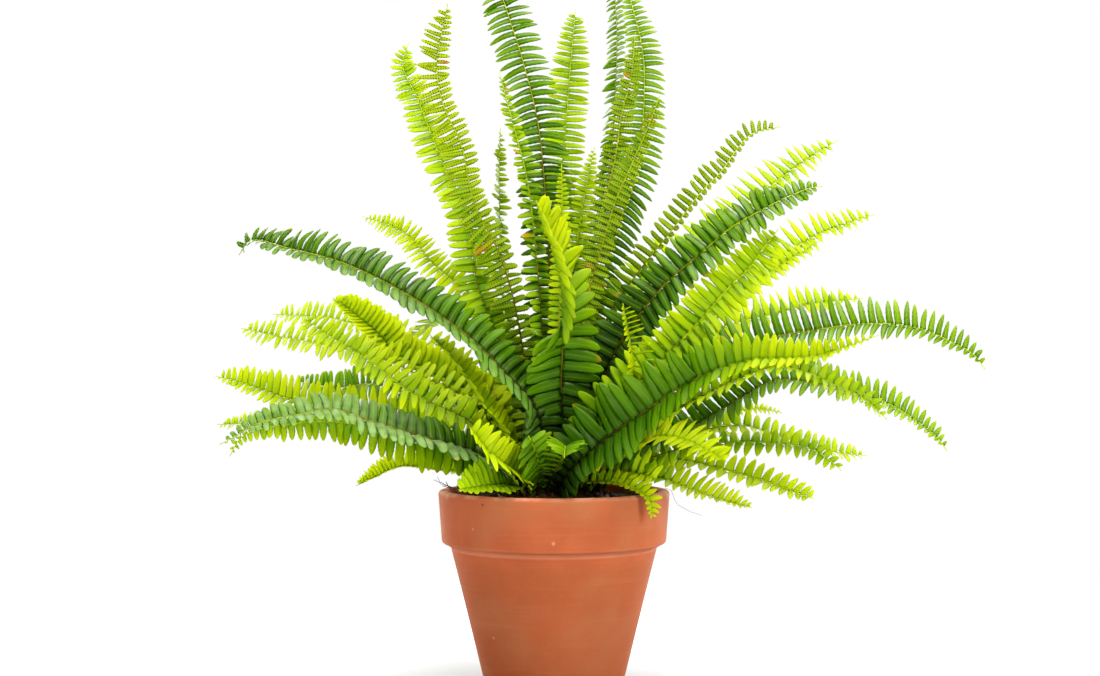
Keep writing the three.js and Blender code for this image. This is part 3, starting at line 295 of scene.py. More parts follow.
BACK_FRONDS = [
    Frond(2, 20, 0.6, 14, (0, -0.3, 1), [(-2, 215, 60), (-5, 268, 110), (-9, 286, 170), (-13, 268, 222)]),
    Frond(2, 20, 0.5, 14, (0, -0.3, 1), [(22, 215, 52), (52, 270, 100), (86, 288, 150), (112, 272, 192),
          (126, 246, 216)]),
    Frond(2, 20, 0.5, 14, (0, -0.3, 1), [(-24, 215, 56), (-52, 272, 104), (-84, 290, 152),
          (-108, 276, 190), (-122, 250, 214)]),
    Frond(3, 18, 0.4, 14, (0, -0.3, 1), [(8, 184, 66), (14, 206, 120), (20, 198, 172), (26, 176, 214)]),
    Frond(3, 18, 0.3, 14, (0, -0.3, 1), [(-22, 182, 62), (-42, 202, 116), (-62, 192, 164),
          (-78, 168, 200)]),
    Frond(3, 18, 0.4, 14, (0, -0.3, 1), [(42, 180, 48), (84, 204, 96), (120, 206, 136), (150, 190, 166)]),
]
FRONDS = UPRIGHT_FRONDS + LEFT_FRONDS + FRONT_FRONDS + RIGHT_FRONDS + BACK_FRONDS


def srgb(red, green, blue):
    """A colour as it is seen, 0 to 255, as the light that the shader works with."""
    rest = [value / 255 for value in (red, green, blue)]
    return tuple(v / 12.92 if v <= 0.04045 else ((v + 0.055) / 1.055) ** 2.4 for v in rest)


# A leaflet's colours from new to old: its place on the ramp, what its surface sends back, and
# what comes through it.
LEAF_AGES = [(0.0, srgb(182, 198, 0), srgb(220, 225, 2)), (0.23, srgb(140, 170, 0), srgb(206, 216, 4)),
             (0.46, srgb(98, 136, 2), srgb(162, 190, 4)), (0.77, srgb(60, 100, 6), srgb(114, 150, 2)),
             (1.0, srgb(40, 72, 6), srgb(80, 118, 2))]
# The bright yellow here is painted light that lifts pale fronds.
# The pale bluish green here is a painted sheen, a painted reflection of the white room.
LEAF = Values(bloom=srgb(156, 190, 118), bright=srgb(224, 250, 48), vein=srgb(190, 205, 30),
              under=srgb(150, 172, 40), dry_light=srgb(214, 170, 50), dry_dark=srgb(160, 104, 36),
              vein_lit=(0.02, 0.05, 0.0), through_new=0.5, through_old=0.24, vein_pitch=1.25)
SORI = Values(pitch=1.9, across=0.6, radius=0.5, colour=(0.10, 0.045, 0.015),
              lit=(0.03, 0.015, 0.005))
RIB_AGES = [(0.1, srgb(158, 172, 14)), (0.5, srgb(118, 110, 14)), (0.9, srgb(76, 60, 14)),
            (1.0, srgb(48, 36, 14))]
# The colour for the body below the band is painted shade; the pale one serves paler edges, chips and
# painted highlights.
CLAY = Values(main=srgb(155, 81, 51), deep=srgb(144, 75, 47), light=srgb(162, 93, 63),
              tan=srgb(144, 89, 60), damp=srgb(136, 74, 44), nick=srgb(72, 40, 26),
              pale=srgb(198, 138, 112), speck=srgb(140, 66, 38))
# Pale chips in the clay, of which the last two large spots are painted highlights at the rim's
# right and left ends, and a dark nick: each one's place in millimetres and its radius.
CHIPS_AND_HIGHLIGHTS = [(-0.7, -88.4, 122.9, 1.8), (35.6, -69.5, 96.2, 1.2), (-46.0, -46.0, 47.6, 1.3),
         (-60.3, -64.6, 131.3, 0.9), (86.0, -20.0, 156.5, 10.0), (-80.0, -38.0, 157.0, 7.0)]
NICK = (-53.3, -72.9, 150.0, 1.5)
# Wiry roots: each one's radius and the points that it passes.
ROOTLETS = [
    (0.45, [-70, -12, 147], [-78, -9, 157], [-85, -6, 160.5], [-94, -4, 164]),
    (0.35, [-72, -2, 147], [-80, 0, 158], [-88, 2, 160], [-91, 3, 166]),
    (0.6, [-74, -14, 147], [-76, -12, 154], [-81, -12, 158], [-84, -10, 163]),
    (0.7, [-66, -18, 147], [-71, -17, 155], [-75, -16, 160], [-73, -14, 166]),
    (0.5, [-68, -6, 147], [-73, -8, 156], [-78, -12, 158], [-86, -16, 160]),
    (0.22, [72, -14, 147], [82, -14, 157], [90, -14, 157], [94, -14, 148], [101, -14, 142],
     [114, -15, 137]),
]
ROOTLET = Values(steps=15, wander=0.25, thin=0.45, sides=5)
WAVES = 5  # waves of each length in a lumpy surface
# A crumb of soil.
CRUMB = np.array([[1, 0, 0], [0, 1, 0], [-1, 0, 0], [0, -1, 0], [0, 0, 1], [0, 0, -1]], float)
CRUMB_FACES = [(0, 1, 4), (1, 2, 4), (2, 3, 4), (3, 0, 4), (1, 0, 5), (2, 1, 5), (3, 2, 5), (0, 3, 5)]
SOIL_COLOURS = srgb(24, 17, 12), srgb(82, 62, 46)
CROWN_COLOURS = srgb(30, 21, 14), srgb(110, 76, 46)

# Soft panels of light: name, place, width and height in metres, power, colour, seen or not.
LIGHTS = [("overhead", (0.1, -0.1, 1.9), (1.2, 1.2), 54, (1, 1, 1), True),
          ("front_right", (1.5, -1.5, 1.0), (0.9, 1.2), 62, (1, 1, 1), True),
          ("front_left", (-1.6, -1.3, 0.9), (0.9, 1.2), 27, (0.88, 1, 1), True),
          ("back_left", (-1.1, 1.5, 0.9), (1.3, 1.6), 58, (1, 1, 1), False),
          ("back_right", (1.2, 1.4, 0.9), (1.3, 1.6), 58, (1, 1, 1), False)]
LIT = (0, 0, 0.3)  # the place that they look at
ROOM = Values(light=0.24, colour=(0.94, 0.97, 1.0))
WHITE = (1, 1, 1)
# The floor's rings, where it fades into the room, and its shade by the distance from the pot.
FLOOR_RADII = np.array([1200, 900, 650, 450, 320, 220, 180, 150, 130, 115, 100, 85, 70, 50, 0.1])
FLOOR = Values(height=-0.05, sides=96, fade=(130, 900), light=(0.86, 0.86, 0.87),
               dark=(0.3, 0.3, 0.31))
FOOT_SHADE = [(60, 0.9), (93, 0.78), (137, 0.64), (168, 0.57), (220, 0.45), (320, 0.2), (450, 0.0)]
TOE = [(0.02, 0.009), (0.1, 0.078), (0.3, 0.3)]  # the deepest tones are a little darker


def unit(vectors):
    return vectors / np.maximum(np.linalg.norm(vectors, axis=-1, keepdims=True), 1e-9)


def smooth(x, low, high):
    t = np.clip((x - low) / (high - low), 0, 1)
    return t * t * (3 - 2 * t)


def mix(a, b, t):
    return a + (b - a) * t


def dot(a, b):
    return (a * b).sum(axis=-1, keepdims=True)


def curve_at(points, marks):
    """Points and directions of the centripetal curve through the points, at marks 0 to 1."""
    points = np.asarray(points, float)
    padded = np.vstack([2 * points[0] - points[1], points, 2 * points[-1] - points[-2]])
    spans = len(points) - 1
    where = np.clip(np.asarray(marks, float), 0, 1) * spans
    span = np.minimum(where.astype(int), spans - 1)
    t = (where - span)[:, None]
    p0, p1, p2, p3 = (padded[span + k] for k in range(4))
    d0, d1, d2 = (np.sqrt(np.linalg.norm(b - a, axis=1, keepdims=True))
                  for a, b in ((p0, p1), (p1, p2), (p2, p3)))
    m1 = ((p1 - p0) / d0 - (p2 - p0) / (d0 + d1) + (p2 - p1) / d1) * d1
    m2 = ((p2 - p1) / d1 - (p3 - p1) / (d1 + d2) + (p3 - p2) / d2) * d1
    c2 = 3 * (p2 - p1) - 2 * m1 - m2
    c3 = 2 * (p1 - p2) + m1 + m2
    return p1 + t * (m1 + t * (c2 + t * c3)), unit(m1 + t * (2 * c2 + 3 * t * c3))


def spaced(points, spacing):
    """Evenly spaced points on the curve, and their distance."""
    marks = np.linspace(0, 1, 201)
    steps = np.diff(curve_at(points, marks)[0], axis=0)
    run = np.concatenate([[0], np.cumsum(np.linalg.norm(steps, axis=1))])
    count = math.ceil(run[-1] / spacing)
    even = np.interp(np.linspace(0, run[-1], count + 1), run, marks)
    return curve_at(points, even)[0], run[-1] / count


def bore_radius(height):
    return min(POT.foot + POT_SLOPE * height - POT.wall, POT.rim - POT.wall)


def crown_height(radius):
    t = np.minimum(radius / CROWN.radius, 1)
    return CROWN.shoulder + (CROWN.height - CROWN.shoulder) * (1 - t * t)


def root_angles(ways, radius):
    """Each frond's angle round its ring, near the way it leans and a pitch apart."""
    gap = ROOT_PITCH / radius
    angles = [math.atan2(way[1], way[0]) for way in ways]
    order = sorted(range(len(ways)), key=lambda i: angles[i])
    for _ in range(ROOT_ROUNDS):
        for place, here in enumerate(order):
            after = order[(place + 1) % len(order)]
            turn = 0 if place + 1 < len(order) else ROUND
            short = gap - (angles[after] + turn - angles[here])
            if short > 0:
                angles[here] -= short / 2
                angles[after] += short / 2
    return angles


def root_fronds():
    """Gives every frond its spine from its root, its length, and its plain leaflets' first mark."""
    for frond in FRONDS:
        path = frond.path[:, [0, 2, 1]]
        scale = (path[:, 1:2] - EYE[1]) / -EYE[1]
        frond.placed = np.where([1, 0, 1], EYE + (path - EYE) * scale, path)
    for number, (radius, tilt) in enumerate(RINGS):
        ring = [frond for frond in FRONDS if frond.ring == number]
        ways = [frond.placed[0] + frond.placed[1] for frond in ring]
        for frond, angle in zip(ring, root_angles(ways, radius)):
            out = np.array([math.cos(angle), math.sin(angle), 0.0])
            root = out * radius + [0, 0, crown_height(radius)]
            lean = unit(out * tilt + [0, 0, 1])
            rise = root + lean * STRAIGHT
            onward = frond.placed[np.linalg.norm(frond.placed - rise, axis=1) > NEAREST]
            foot = root + lean * (GAP - SOCKET_DEPTH)
            frond.spine, step = spaced([foot, root, rise, *onward], RIB.step)
            frond.length = step * (len(frond.spine) - 1)
            frond.low = min(BARE, BARE_SHARE * frond.length) / frond.length


def nearest_gap(p1, q1, p2, q2):
    """From the nearest point of each line p2 to q2, to that of the line p1 to q1."""
    d1, d2, r = q1 - p1, q2 - p2, p1 - p2
    a, e, f = dot(d1, d1), dot(d2, d2), dot(d2, r)
    b, c = dot(d1, d2), dot(d1, r)
    area = a * e - b * b
    s = np.where(area > 1e-12, np.clip((b * f - c * e) / np.maximum(area, 1e-12), 0, 1), 0)
    t = (b * s + f) / e
    s = np.where(t < 0, np.clip(-c / a, 0, 1), np.where(t > 1, np.clip((b - c) / a, 0, 1), s))
    return (p1 + d1 * s) - (p2 + d2 * np.clip(t, 0, 1))


def near_pairs(points, owner, lines):
    """Pairs of lines of different fronds whose middles are near each other."""
    middles = (points[lines] + points[lines + 1]) / 2
    size = dot(middles, middles)
    apart = size + size.T - 2 * middles @ middles.T
    late, early = np.nonzero(apart < (RIB.room + 2 * RIB.step) ** 2)
    keep = owner[lines[late]] > owner[lines[early]]
    return lines[late[keep]], lines[early[keep]]


def pushes(points, late, early):
    """How far each point is pushed by the lines that come too near each other."""
    gap = nearest_gap(points[late], points[late + 1], points[early], points[early + 1])
    size = np.linalg.norm(gap, axis=1, keepdims=True)
    way = np.where(size < EASE.touching, [0.0, 1.0, 0.0], unit(gap))
    push = way * np.maximum(RIB.room - size, 0) * EASE.push
    moves = np.zeros_like(points)
    for ends, sign in ((late, 1), (early, -1)):
        np.add.at(moves, ends, sign * push)
        np.add.at(moves, ends + 1, sign * push)
    return moves


def ease_apart():
    """Ribs that come too near each other are eased apart, a little at a time."""
    sizes = np.array([len(frond.spine) for frond in FRONDS])
    starts = np.concatenate([[0], np.cumsum(sizes)[:-1]])
    points = np.vstack([frond.spine for frond in FRONDS])
    owner = np.repeat(np.arange(len(FRONDS)), sizes)
    place = np.arange(len(points)) - starts[owner]
    last = place == sizes[owner] - 1
    lines = np.nonzero((place > 0) & ~last)[0]
    loose = np.nonzero(place > 1)[0]
    after = np.arange(len(points)) + ~last
    counts = np.minimum(EASE.foot, sizes - 2)
    for turn in range(EASE.rounds):
        if turn % EASE.renew == 0:
            late, early = near_pairs(points, owner, lines)
        moves = pushes(points, late, early)
        points[loose] += (0.5 * moves + 0.25 * (np.roll(moves, 1, axis=0) + moves[after]))[loose]
        for i in range(3, EASE.foot):
            some = np.nonzero(counts > i)[0]
            share = EASE.relax * np.sin(math.pi * (i - 2) / (counts[some] - 2))[:, None]
            at = starts[some] + i
            points[at] += share * ((points[at - 1] + points[at + 1]) / 2 - points[at])
    for frond, start, size in zip(FRONDS, starts, sizes):
        frond.spine = points[start:start + size]


def frame_at(frond, marks):
    """The rib's middle, and its directions along, up and to the right, at marks 0 to 1."""
    centre, along = curve_at(frond.spine, marks)
    turned_by = smooth(np.maximum(marks, frond.low), *TWIST)[:, None]
    face = mix(np.array(frond.face, float), np.array(frond.tip_face, float), turned_by)
    up = unit(face - along * dot(face, along))
    below = np.nonzero(marks < frond.low)[0][::-1]
    carried = frame_at(frond, np.array([frond.low]))[2][0] if len(below) else None
    for i in below:
        carried = unit(carried - along[i] * (carried @ along[i]))
        up[i] = carried
    return centre, along, up, np.cross(along, up)


class Shell:
    """Faces with what the materials read at their points, kept until they become a mesh."""

    def __init__(self, *keys):
        self.points, self.faces, self.count = [], {4: [], 3: []}, 0
        self.values = {key: [] for key in keys}

    def add(self, points, quads, threes, material=0, **values):
        points = np.asarray(points, float).reshape(-1, 3)
        self.points.append(points)
        for size, faces in ((4, quads), (3, threes)):
            faces = np.asarray(faces, int).reshape(-1, size) + self.count
            self.faces[size].append((faces, material))
        for key, kept in self.values.items():
            kept.append(np.broadcast_to(values.get(key, 0.0), len(points)))
        self.count += len(points)

    def mesh(self, name):
        groups = [group for group in self.faces[4] + self.faces[3] if len(group[0])]
        corners = np.concatenate([faces.ravel() for faces, _ in groups])
        sizes = np.concatenate([np.full(len(faces), faces.shape[1]) for faces, _ in groups])
        materials = np.concatenate([np.full(len(faces), material) for faces, material in groups])
        mesh = bpy.data.meshes.new(name)
        mesh.vertices.add(self.count)
        mesh.loops.add(len(corners))
        mesh.polygons.add(len(sizes))
        mesh.vertices.foreach_set("co", (np.vstack(self.points) * SCALE).ravel())
        mesh.loops.foreach_set("vertex_index", corners)
        mesh.polygons.foreach_set("loop_start", np.concatenate([[0], np.cumsum(sizes)[:-1]]))
        mesh.polygons.foreach_set("material_index", materials)
        mesh.update(calc_edges=True)
        for key, kept in self.values.items():
            mesh.attributes.new(key, "FLOAT", "POINT").data.foreach_set("value", np.concatenate(kept))
        mesh.shade_smooth()
        return mesh


def shown(data, name):
    """An object for this data, put in the scene."""
    thing = bpy.data.objects.new(name, data)
    bpy.context.scene.collection.objects.link(thing)
    return thing


def piece(mesh, slot, replaced, *materials):
    """Puts a mesh in the scene as a piece of the object."""
    thing = shown(mesh, mesh.name)
    for material in materials:
        mesh.materials.append(material)
    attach(thing, "root")
    if replaced:
        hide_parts(*replaced)


def leaflet_faces(rows):
    """Quads and triangles of a closed leaflet: rows of five top and three bottom points, a tip."""
    here, after = np.array([0, 1, 2, 3, 4, 7, 6, 5]), np.array([1, 2, 3, 4, 7, 6, 5, 0])
    first, last = 8 * np.arange(rows - 1)[:, None], 8 * (rows - 1)
    quads = np.stack([first + here, first + here + 8, first + after + 8, first + after], axis=-1)
    threes = np.stack([last + here, np.full(8, last + 8), last + after], axis=-1)
    return (np.concatenate([quads.reshape(-1, 4), [(1, 2, 6, 5), (2, 3, 7, 6)]]),
            np.concatenate([threes, [(0, 1, 5), (4, 7, 3)]]))


def leaf_size(frond, reach):
    """A leaflet's length for its reach, 0 at the lowest plain leaflet and 1 at the tip."""
    lowest = LEAFLET.lowest - LEAFLET.below * smooth(-reach, 0, LEAFLET.below_reach)
    widening = mix(lowest, 1, smooth(reach, 0, LEAFLET.full_reach))
    narrowing = np.maximum(1 - np.abs(reach) ** frond.taper, 0) ** 0.75
    return np.maximum(frond.leaf * widening * narrowing, LEAFLET.least)


def age_at(frond, marks):
    """A frond is older and darker at its foot, partly as painted shade, and younger towards its tip."""
    foot = AGEING.foot * (1 - smooth(marks, *AGEING.foot_ends))
    return mix(frond.age, frond.tip_age, smooth(marks, *AGEING.tip_starts)) + foot


def leaflet_marks(frond, hand):
    """Where a row's leaflets sit, closer together towards the tip, and their spacing."""
    bare = min(LEAFLET.bare, 0.3 * frond.length)
    pairs = max(6, round((frond.length - bare) / frond.pitch))
    t = np.arange(pairs) / pairs
    shrinking = t + LEAFLET.closing * t * (1 - t)
    marks = (bare + (frond.length - bare) * 0.99 * shrinking) / frond.length
    pitch = np.gradient(marks) * frond.length
    if hand < 0:
        marks = marks + LEAFLET.offset * pitch / frond.length
    return np.minimum(marks, LEAFLET.last), pitch


def leaflet_ways(frond, hand, ribs, marks, reach, hang, row, drop, draws):
    """Where each leaflet starts, and its ways out along it, across it and off its upper side."""
    centre, along, up, side = ribs
    upper = smooth(marks, *UPPER)
    lean = LEAFLET.sweep + frond.sweep + row["sweep"] + row["tip_lean"] * upper
    spread = mix(lean, drop["sweep"], hang) + frond.tip_sweep * np.clip(reach, 0, 1) ** 5
    fold = frond.fold + row["fold"] + row["tip_fold"] * upper + drop["fold"] * hang
    fold = fold + drop["foot_fold"] * hang * (1 - smooth(reach, 0, 0.5))
    turn = LEAFLET.turn + row["turn"] + row["tip_turn"] * upper
    wander = (LEAFLET.sweep_wander, LEAFLET.fold_wander, LEAFLET.turn_wander)
    spread, fold, turn = (
        np.radians(angle + frond.wander * draws.normal(0, size, len(marks)))[:, None]
        for angle, size in zip((spread, fold, turn), wander))
    flat = hand * side * np.cos(spread) + along * np.sin(spread)
    out = unit(flat * np.cos(fold) + up * np.sin(fold))
    across = unit(along - out * dot(along, out))
    normal = hand * np.cross(out, across)
    rib = mix(RIB.base, RIB.tip, marks)[:, None]
    return dict(start=centre + out * rib * SEAT[0] + up * rib * SEAT[1], out=out,
                across=across * np.cos(turn) + normal * np.sin(turn),
                normal=normal * np.cos(turn) - across * np.sin(turn))


def add_leaflets(shell, frond, hand, draws):
    """One row of leaflets, right of the rib for hand 1 and left of it for -1."""
    marks, pitch = leaflet_marks(frond, hand)
    count = len(marks)
    reach = (marks - frond.low) / (1 - frond.low)
    row = {**ROW, **(frond.right if hand > 0 else frond.left)}
    drop = {**HANGING, **frond.hanging}
    ribs = frame_at(frond, marks)
    hang = np.clip(-hand * ribs[3][:, 2], 0, 1)
    upper = smooth(marks, *UPPER)
    age = age_at(frond, marks)
    length = leaf_size(frond, reach) * draws.uniform(0.93, 1.05, count)
    broad = mix(frond.broad, frond.tip_broad, smooth(marks, 0.4, 0.7))
    wide = pitch * mix(LEAFLET.young_width, LEAFLET.old_width, smooth(age, 0.15, 0.7))
    wide = wide * broad * draws.uniform(0.94, 1.06, count)
    wide = np.minimum(wide, (0.42 * length + 0.8) * np.maximum(1, 0.75 * broad))
    dropped = drop["length"] * mix(drop["foot_length"], 1, smooth(reach, 0.03, 0.2))
    length = length * mix(1, dropped, hang) * row["length"] * mix(1, row["tip_length"], upper)
    leaves = dict(
        **leaflet_ways(frond, hand, ribs, marks, reach, hang, row, drop, draws),
        length=length, wide=wide * mix(1, row["tip_width"], upper), age=age,
        droop=mix(0.02, 0.14, age) + draws.normal(0.03, 0.05, count),
        hook=frond.hook + draws.normal(0, 0.03, count),
        cup=mix(0.08, 0.18, age) + draws.normal(0, 0.07, count),
        wave=np.abs(draws.normal(0.05, 0.03, count)), phase=draws.uniform(0, ROUND, count),
        twist=draws.normal(0, 0.16, count), tone=draws.uniform(0, 1, count),
        sag=(LEAFLET.sag + drop["sag"] * hang) * draws.uniform(0.6, 1.4, count),
        dry=(draws.uniform(0, 1, count) < frond.dry) * draws.uniform(0.6, 1, count),
        # a pale painted sheen, a painted reflection, at the tip and on the row that points down
        bloom=np.maximum(frond.tip_painted_sheen * smooth(marks, 0.35, 0.8), frond.bloom * hang))
    longest = math.inf
    for shortest, rows in ROWS:
        some = (length > shortest) & (length <= longest)
        longest = shortest
        if some.any():
            grid_leaflets(shell, frond, hand, rows, {key: all_of[some] for key, all_of in leaves.items()})


def half_width(u, age, v, point):
    """A leaflet's half width: broad-based and pointed when new, a rounded finger when old."""
    new, old = (mix(*((1 - u ** a) ** b for a, b in pairs), point)
                for pairs in (OUTLINE.new, OUTLINE.old))
    shape = np.maximum(mix(new, old, smooth(age, 0.1, 0.75)), 0)
    foot = 1 + EAR.foot * (1 - smooth(u, 0, EAR.foot_end))
    return shape * foot * (1 + EAR.size * np.exp(-((u - EAR.place) / EAR.spread) ** 2) * (v > 0))


def grid_leaflets(shell, frond, hand, rows, leaves):
    """Adds leaflets that have the same number of rows."""
    count = len(leaves["length"])
    u = (1 - (1 - np.arange(rows + 1) / rows) ** 1.3)[None, :, None]
    v = COLUMNS[None, None, :]
    one = Values(**{key: value.reshape(count, 1, 1, -1) if value.ndim > 1 else value[:, None, None]
                    for key, value in leaves.items()})
    half = one.wide / 2
    odd = np.where(np.arange(rows + 1) % 2, -1, 1)[None, :, None]
    tooth = 1 + LEAFLET.tooth * odd * (np.abs(v) > 0.9)
    breadth = half * half_width(u, one.age, v, frond.point) * tooth
    rise = -one.length * one.droop * u ** 2 - breadth * one.cup * v ** 2
    rise = rise - breadth * LEAFLET.ridge * (v == 0)
    rise = rise + breadth * 1.2 * one.wave * v * np.sin(one.phase + 7 * u)
    x = one.length * one.hook * u ** 2 + breadth * v * np.cos(one.twist * u)
    y = rise + breadth * v * np.sin(one.twist * u)
    fall = np.array([0, 0, -1.0]) * (one.length * one.sag * u ** 2)[..., None]
    top = (one.start + fall + one.out * (one.length * u)[..., None] + one.across * x[..., None]
           + one.normal * y[..., None])
    bottom = top - one.normal * LEAFLET.thick

    def all_points(top, bottom):
        """Each leaflet's rows of five top and three bottom values, and its tip's value."""
        body = np.concatenate([top[:, :rows], bottom[:, :rows, 1:4]], axis=2)
        return np.concatenate([body.reshape(count, rows * 8, -1), top[:, rows, 2:3]], axis=1)

    def spread(values):
        values = np.broadcast_to(values, (count, rows + 1, 5))[..., None]
        return all_points(values, values).ravel()

    upper_side = np.zeros((count, rows + 1, 5, 1))
    upper_side[:, rows] = 0.5
    quads, threes = (faces[:, ::hand] for faces in leaflet_faces(rows))
    shift = (np.arange(count) * (rows * 8 + 1))[:, None, None]
    shell.add(all_points(top, bottom), quads[None] + shift, threes[None] + shift, 1,
              under=all_points(upper_side, np.ones_like(upper_side)).ravel(),
              across=spread(np.abs(v)), reach=spread(u), run=spread(one.length * u),
              half=spread(half), age=spread(one.age), tone=spread(one.tone), dry=spread(one.dry),
              bloom=spread(one.bloom), sori=frond.sori, pale=frond.pale)


def skin(rings, ends):
    """Points, quads and triangles of a stack of rings; an end that isn't None closes it."""
    index = np.arange(rings[..., 0].size).reshape(rings.shape[:2])
    on = np.roll(index, -1, axis=1)
    quads = np.stack([index[:-1], on[:-1], on[1:], index[1:]], axis=-1)
    points, threes = list(rings.reshape(-1, 3)), []
    for end, edge in zip(ends, ((on[0], index[0]), (index[-1], on[-1]))):
        if end is not None:
            threes.append(np.stack([*edge, np.full(index.shape[1], len(points))], axis=-1))
            points.append(end)
    return points, quads, threes


def add_tube(shell, centre, along, up, side, radius, sides, groove=0.0, **values):
    """A closed thin tube along a line of points; values hold one number for each point."""
    angles = -np.arange(sides) * ROUND / sides  # this way round its faces look outwards
    hollow = 1 - groove * (np.sin(angles) > 0.9)
    ring = up[:, None] * (np.sin(angles) * hollow)[:, None] + side[:, None] * np.cos(angles)[:, None]
    ends = [centre[0], centre[-1] + along[-1] * radius[-1]]
    values = {key: np.concatenate([np.repeat(value, sides), value[[0, -1]]])
              for key, value in values.items()}
    shell.add(*skin(centre[:, None] + ring * radius[:, None, None], ends), **values)


def add_rib(shell, frond):
    """The frond's stalk and rib, sunk into the rootstock at its foot."""
    marks = np.linspace(0, 1, max(12, round(frond.length / RIB.step)) + 1)
    radius = mix(RIB.base, RIB.tip, marks) + RIB.swell * (1 - smooth(marks * frond.length, *SWELLING))
    add_tube(shell, *frame_at(frond, marks), radius, RIB.sides, RIB.groove,
             age=age_at(frond, marks), reach=marks)


def add_fronds(rib_look, leaf_look):
    for number, frond in enumerate(FRONDS, start=1):
        draws = np.random.default_rng(100 + number)
        shell = Shell("age", "tone", "across", "reach", "run", "half", "under", "dry", "sori",
                      "bloom", "pale")
        add_rib(shell, frond)
        for hand in (1, -1):
            add_leaflets(shell, frond, hand, draws)
        slot = next(name for name, youngest in AGE_SLOTS if frond.age >= youngest)
        piece(shell.mesh(f"fern_frond_{number:02d}"), slot, [f"frond_{number:02d}"],
              rib_look, leaf_look)


def arc(radius, height, start, stop, steps):
    """Profile points on an arc of the LIP's size between two angles in degrees."""
    angles = np.radians(np.linspace(start, stop, steps + 1))
    return np.stack([radius + LIP * np.cos(angles), height + LIP * np.sin(angles)], axis=1)


def filled(points, spacing):
    """The profile with points added along its long stretches."""
    rows = [points[0]]
    for a, b in zip(points[:-1], points[1:]):
        steps = max(1, math.ceil(np.linalg.norm(b - a) / spacing))
        rows += [a + (b - a) * k / steps for k in range(1, steps + 1)]
    return np.array(rows)


def add_lumps(points, low, high, size, seed, lengths):
    """Lifts points by waves of these lengths, fully above the height high, and not below low."""
    x, y, z = (points[..., axis] for axis in range(3))
    draws = np.random.default_rng(seed)
    total = np.zeros_like(x)
    for length in lengths:
        for _ in range(WAVES):
            angle, phase = draws.uniform(0, ROUND, 2)
            wave = (x * math.cos(angle) + y * math.sin(angle)) * ROUND / length
            total += np.sin(wave + phase) * length
    z += size * smooth(z, low, high) * total / (WAVES / 2 * sum(lengths))


def turned(shell, profile, segments, lumps=None, **values):
    """Adds a profile turned round the upright axis; an end that is at the axis is closed."""
    angles = np.arange(segments) * ROUND / segments
    radius, height = profile[:, :1], profile[:, 1:]
    points = np.stack([radius * np.cos(angles), radius * np.sin(angles),
                       np.broadcast_to(height, (len(profile), segments))], axis=-1)
    if lumps:
        add_lumps(points, *lumps)
    ends = [[0, 0, z] if r < CLOSED else None for r, z in (profile[0], profile[-1])]
    shell.add(*skin(points, ends), **values)


def pot_profile():
    lip, band = POT.height - LIP, POT.neck_height + 2 * LIP
    deep, low = POT.neck_height + 20, POT.floor + 4
    return np.vstack([
        [[POT.drain, 0], [POT.foot - 2, 0], [POT.foot - 0.6, 0.4], [POT.foot, 1.5],
         [POT.neck, POT.neck_height]],
        arc(POT.band - LIP, band, -90, 0, 6), arc(POT.rim - LIP, lip, 0, 90, 7),
        arc(POT.rim - POT.wall + LIP, lip, 90, 180, 7),
        [[bore_radius(deep), deep], [bore_radius(low), low],
         [bore_radius(POT.floor) - 4, POT.floor], [POT.drain, POT.floor], [POT.drain, 0]]])


def add_pot(look):
    shell = Shell()
    turned(shell, filled(pot_profile(), 6.0), 192)
    mesh = shell.mesh("terracotta_pot")
    work = bmesh.new()
    work.from_mesh(mesh)
    bmesh.ops.remove_doubles(work, verts=work.verts, dist=1e-6)
    bmesh.ops.recalc_face_normals(work, faces=work.faces)
    work.to_mesh(mesh)
    work.free()
    mesh.set_sharp_from_angle(angle=math.radians(40))
    piece(mesh, "terracotta", ["pot"], look)


def add_crumb(shell, middle, size, draws):
    """A crumb of soil."""
    corners = CRUMB * draws.uniform(0.75, 1.2, (6, 1)) * size
    turns = [Matrix.Rotation(angle, 3, axis) for angle, axis in zip(draws.uniform(0, ROUND, 3), "ZXZ")]
    turn = np.array(turns[0] @ turns[1] @ turns[2])
    shell.add(corners @ turn.T + middle, [], CRUMB_FACES, tone=draws.uniform(0, 1) ** 2)


def add_soil(look):
    """The soil, with a hole for the rootstock, and crumbs on it."""
    low, edge, rise = POT.floor + GAP, SOIL.edge, SOIL.edge + SOIL.mound
    wall, hole = bore_radius(edge), CROWN.radius + GAP
    profile = np.array([
        [0.01, low], [bore_radius(low) - 4 - 2 * GAP, low], [bore_radius(low + 4) - 2 * GAP, low + 4],
        [bore_radius(POT.neck_height) - 2 * GAP, POT.neck_height], [wall - 2 * GAP - 1, edge],
        [wall - 12, edge + 0.6 * SOIL.mound], [hole + 6, rise], [hole, rise - 1],
        [hole - 4, CROWN.base - GAP], [0.01, CROWN.base - GAP]])
    shell = Shell("tone")
    turned(shell, np.vstack([profile[:4], filled(profile[4:8], 1.4), profile[8:]]), 160,
           (edge - 1, edge + 1, SOIL.lumps, 5, (4, 7, 12)), tone=0.3)
    draws = np.random.default_rng(7)
    for _ in range(SOIL.bits):
        radius = math.sqrt(draws.uniform((hole + 1) ** 2, (wall - 3) ** 2))
        angle = draws.uniform(0, ROUND)
        height = np.interp(radius, [hole + 6, wall - 12], [rise, rise - 2])
        size = draws.uniform(0.6, 2.2) * np.array([1, draws.uniform(0.5, 1), 0.5])
        add_crumb(shell, [radius * math.cos(angle), radius * math.sin(angle), height], size, draws)
    piece(shell.mesh("potting_soil"), "soil", ["soil"], look)


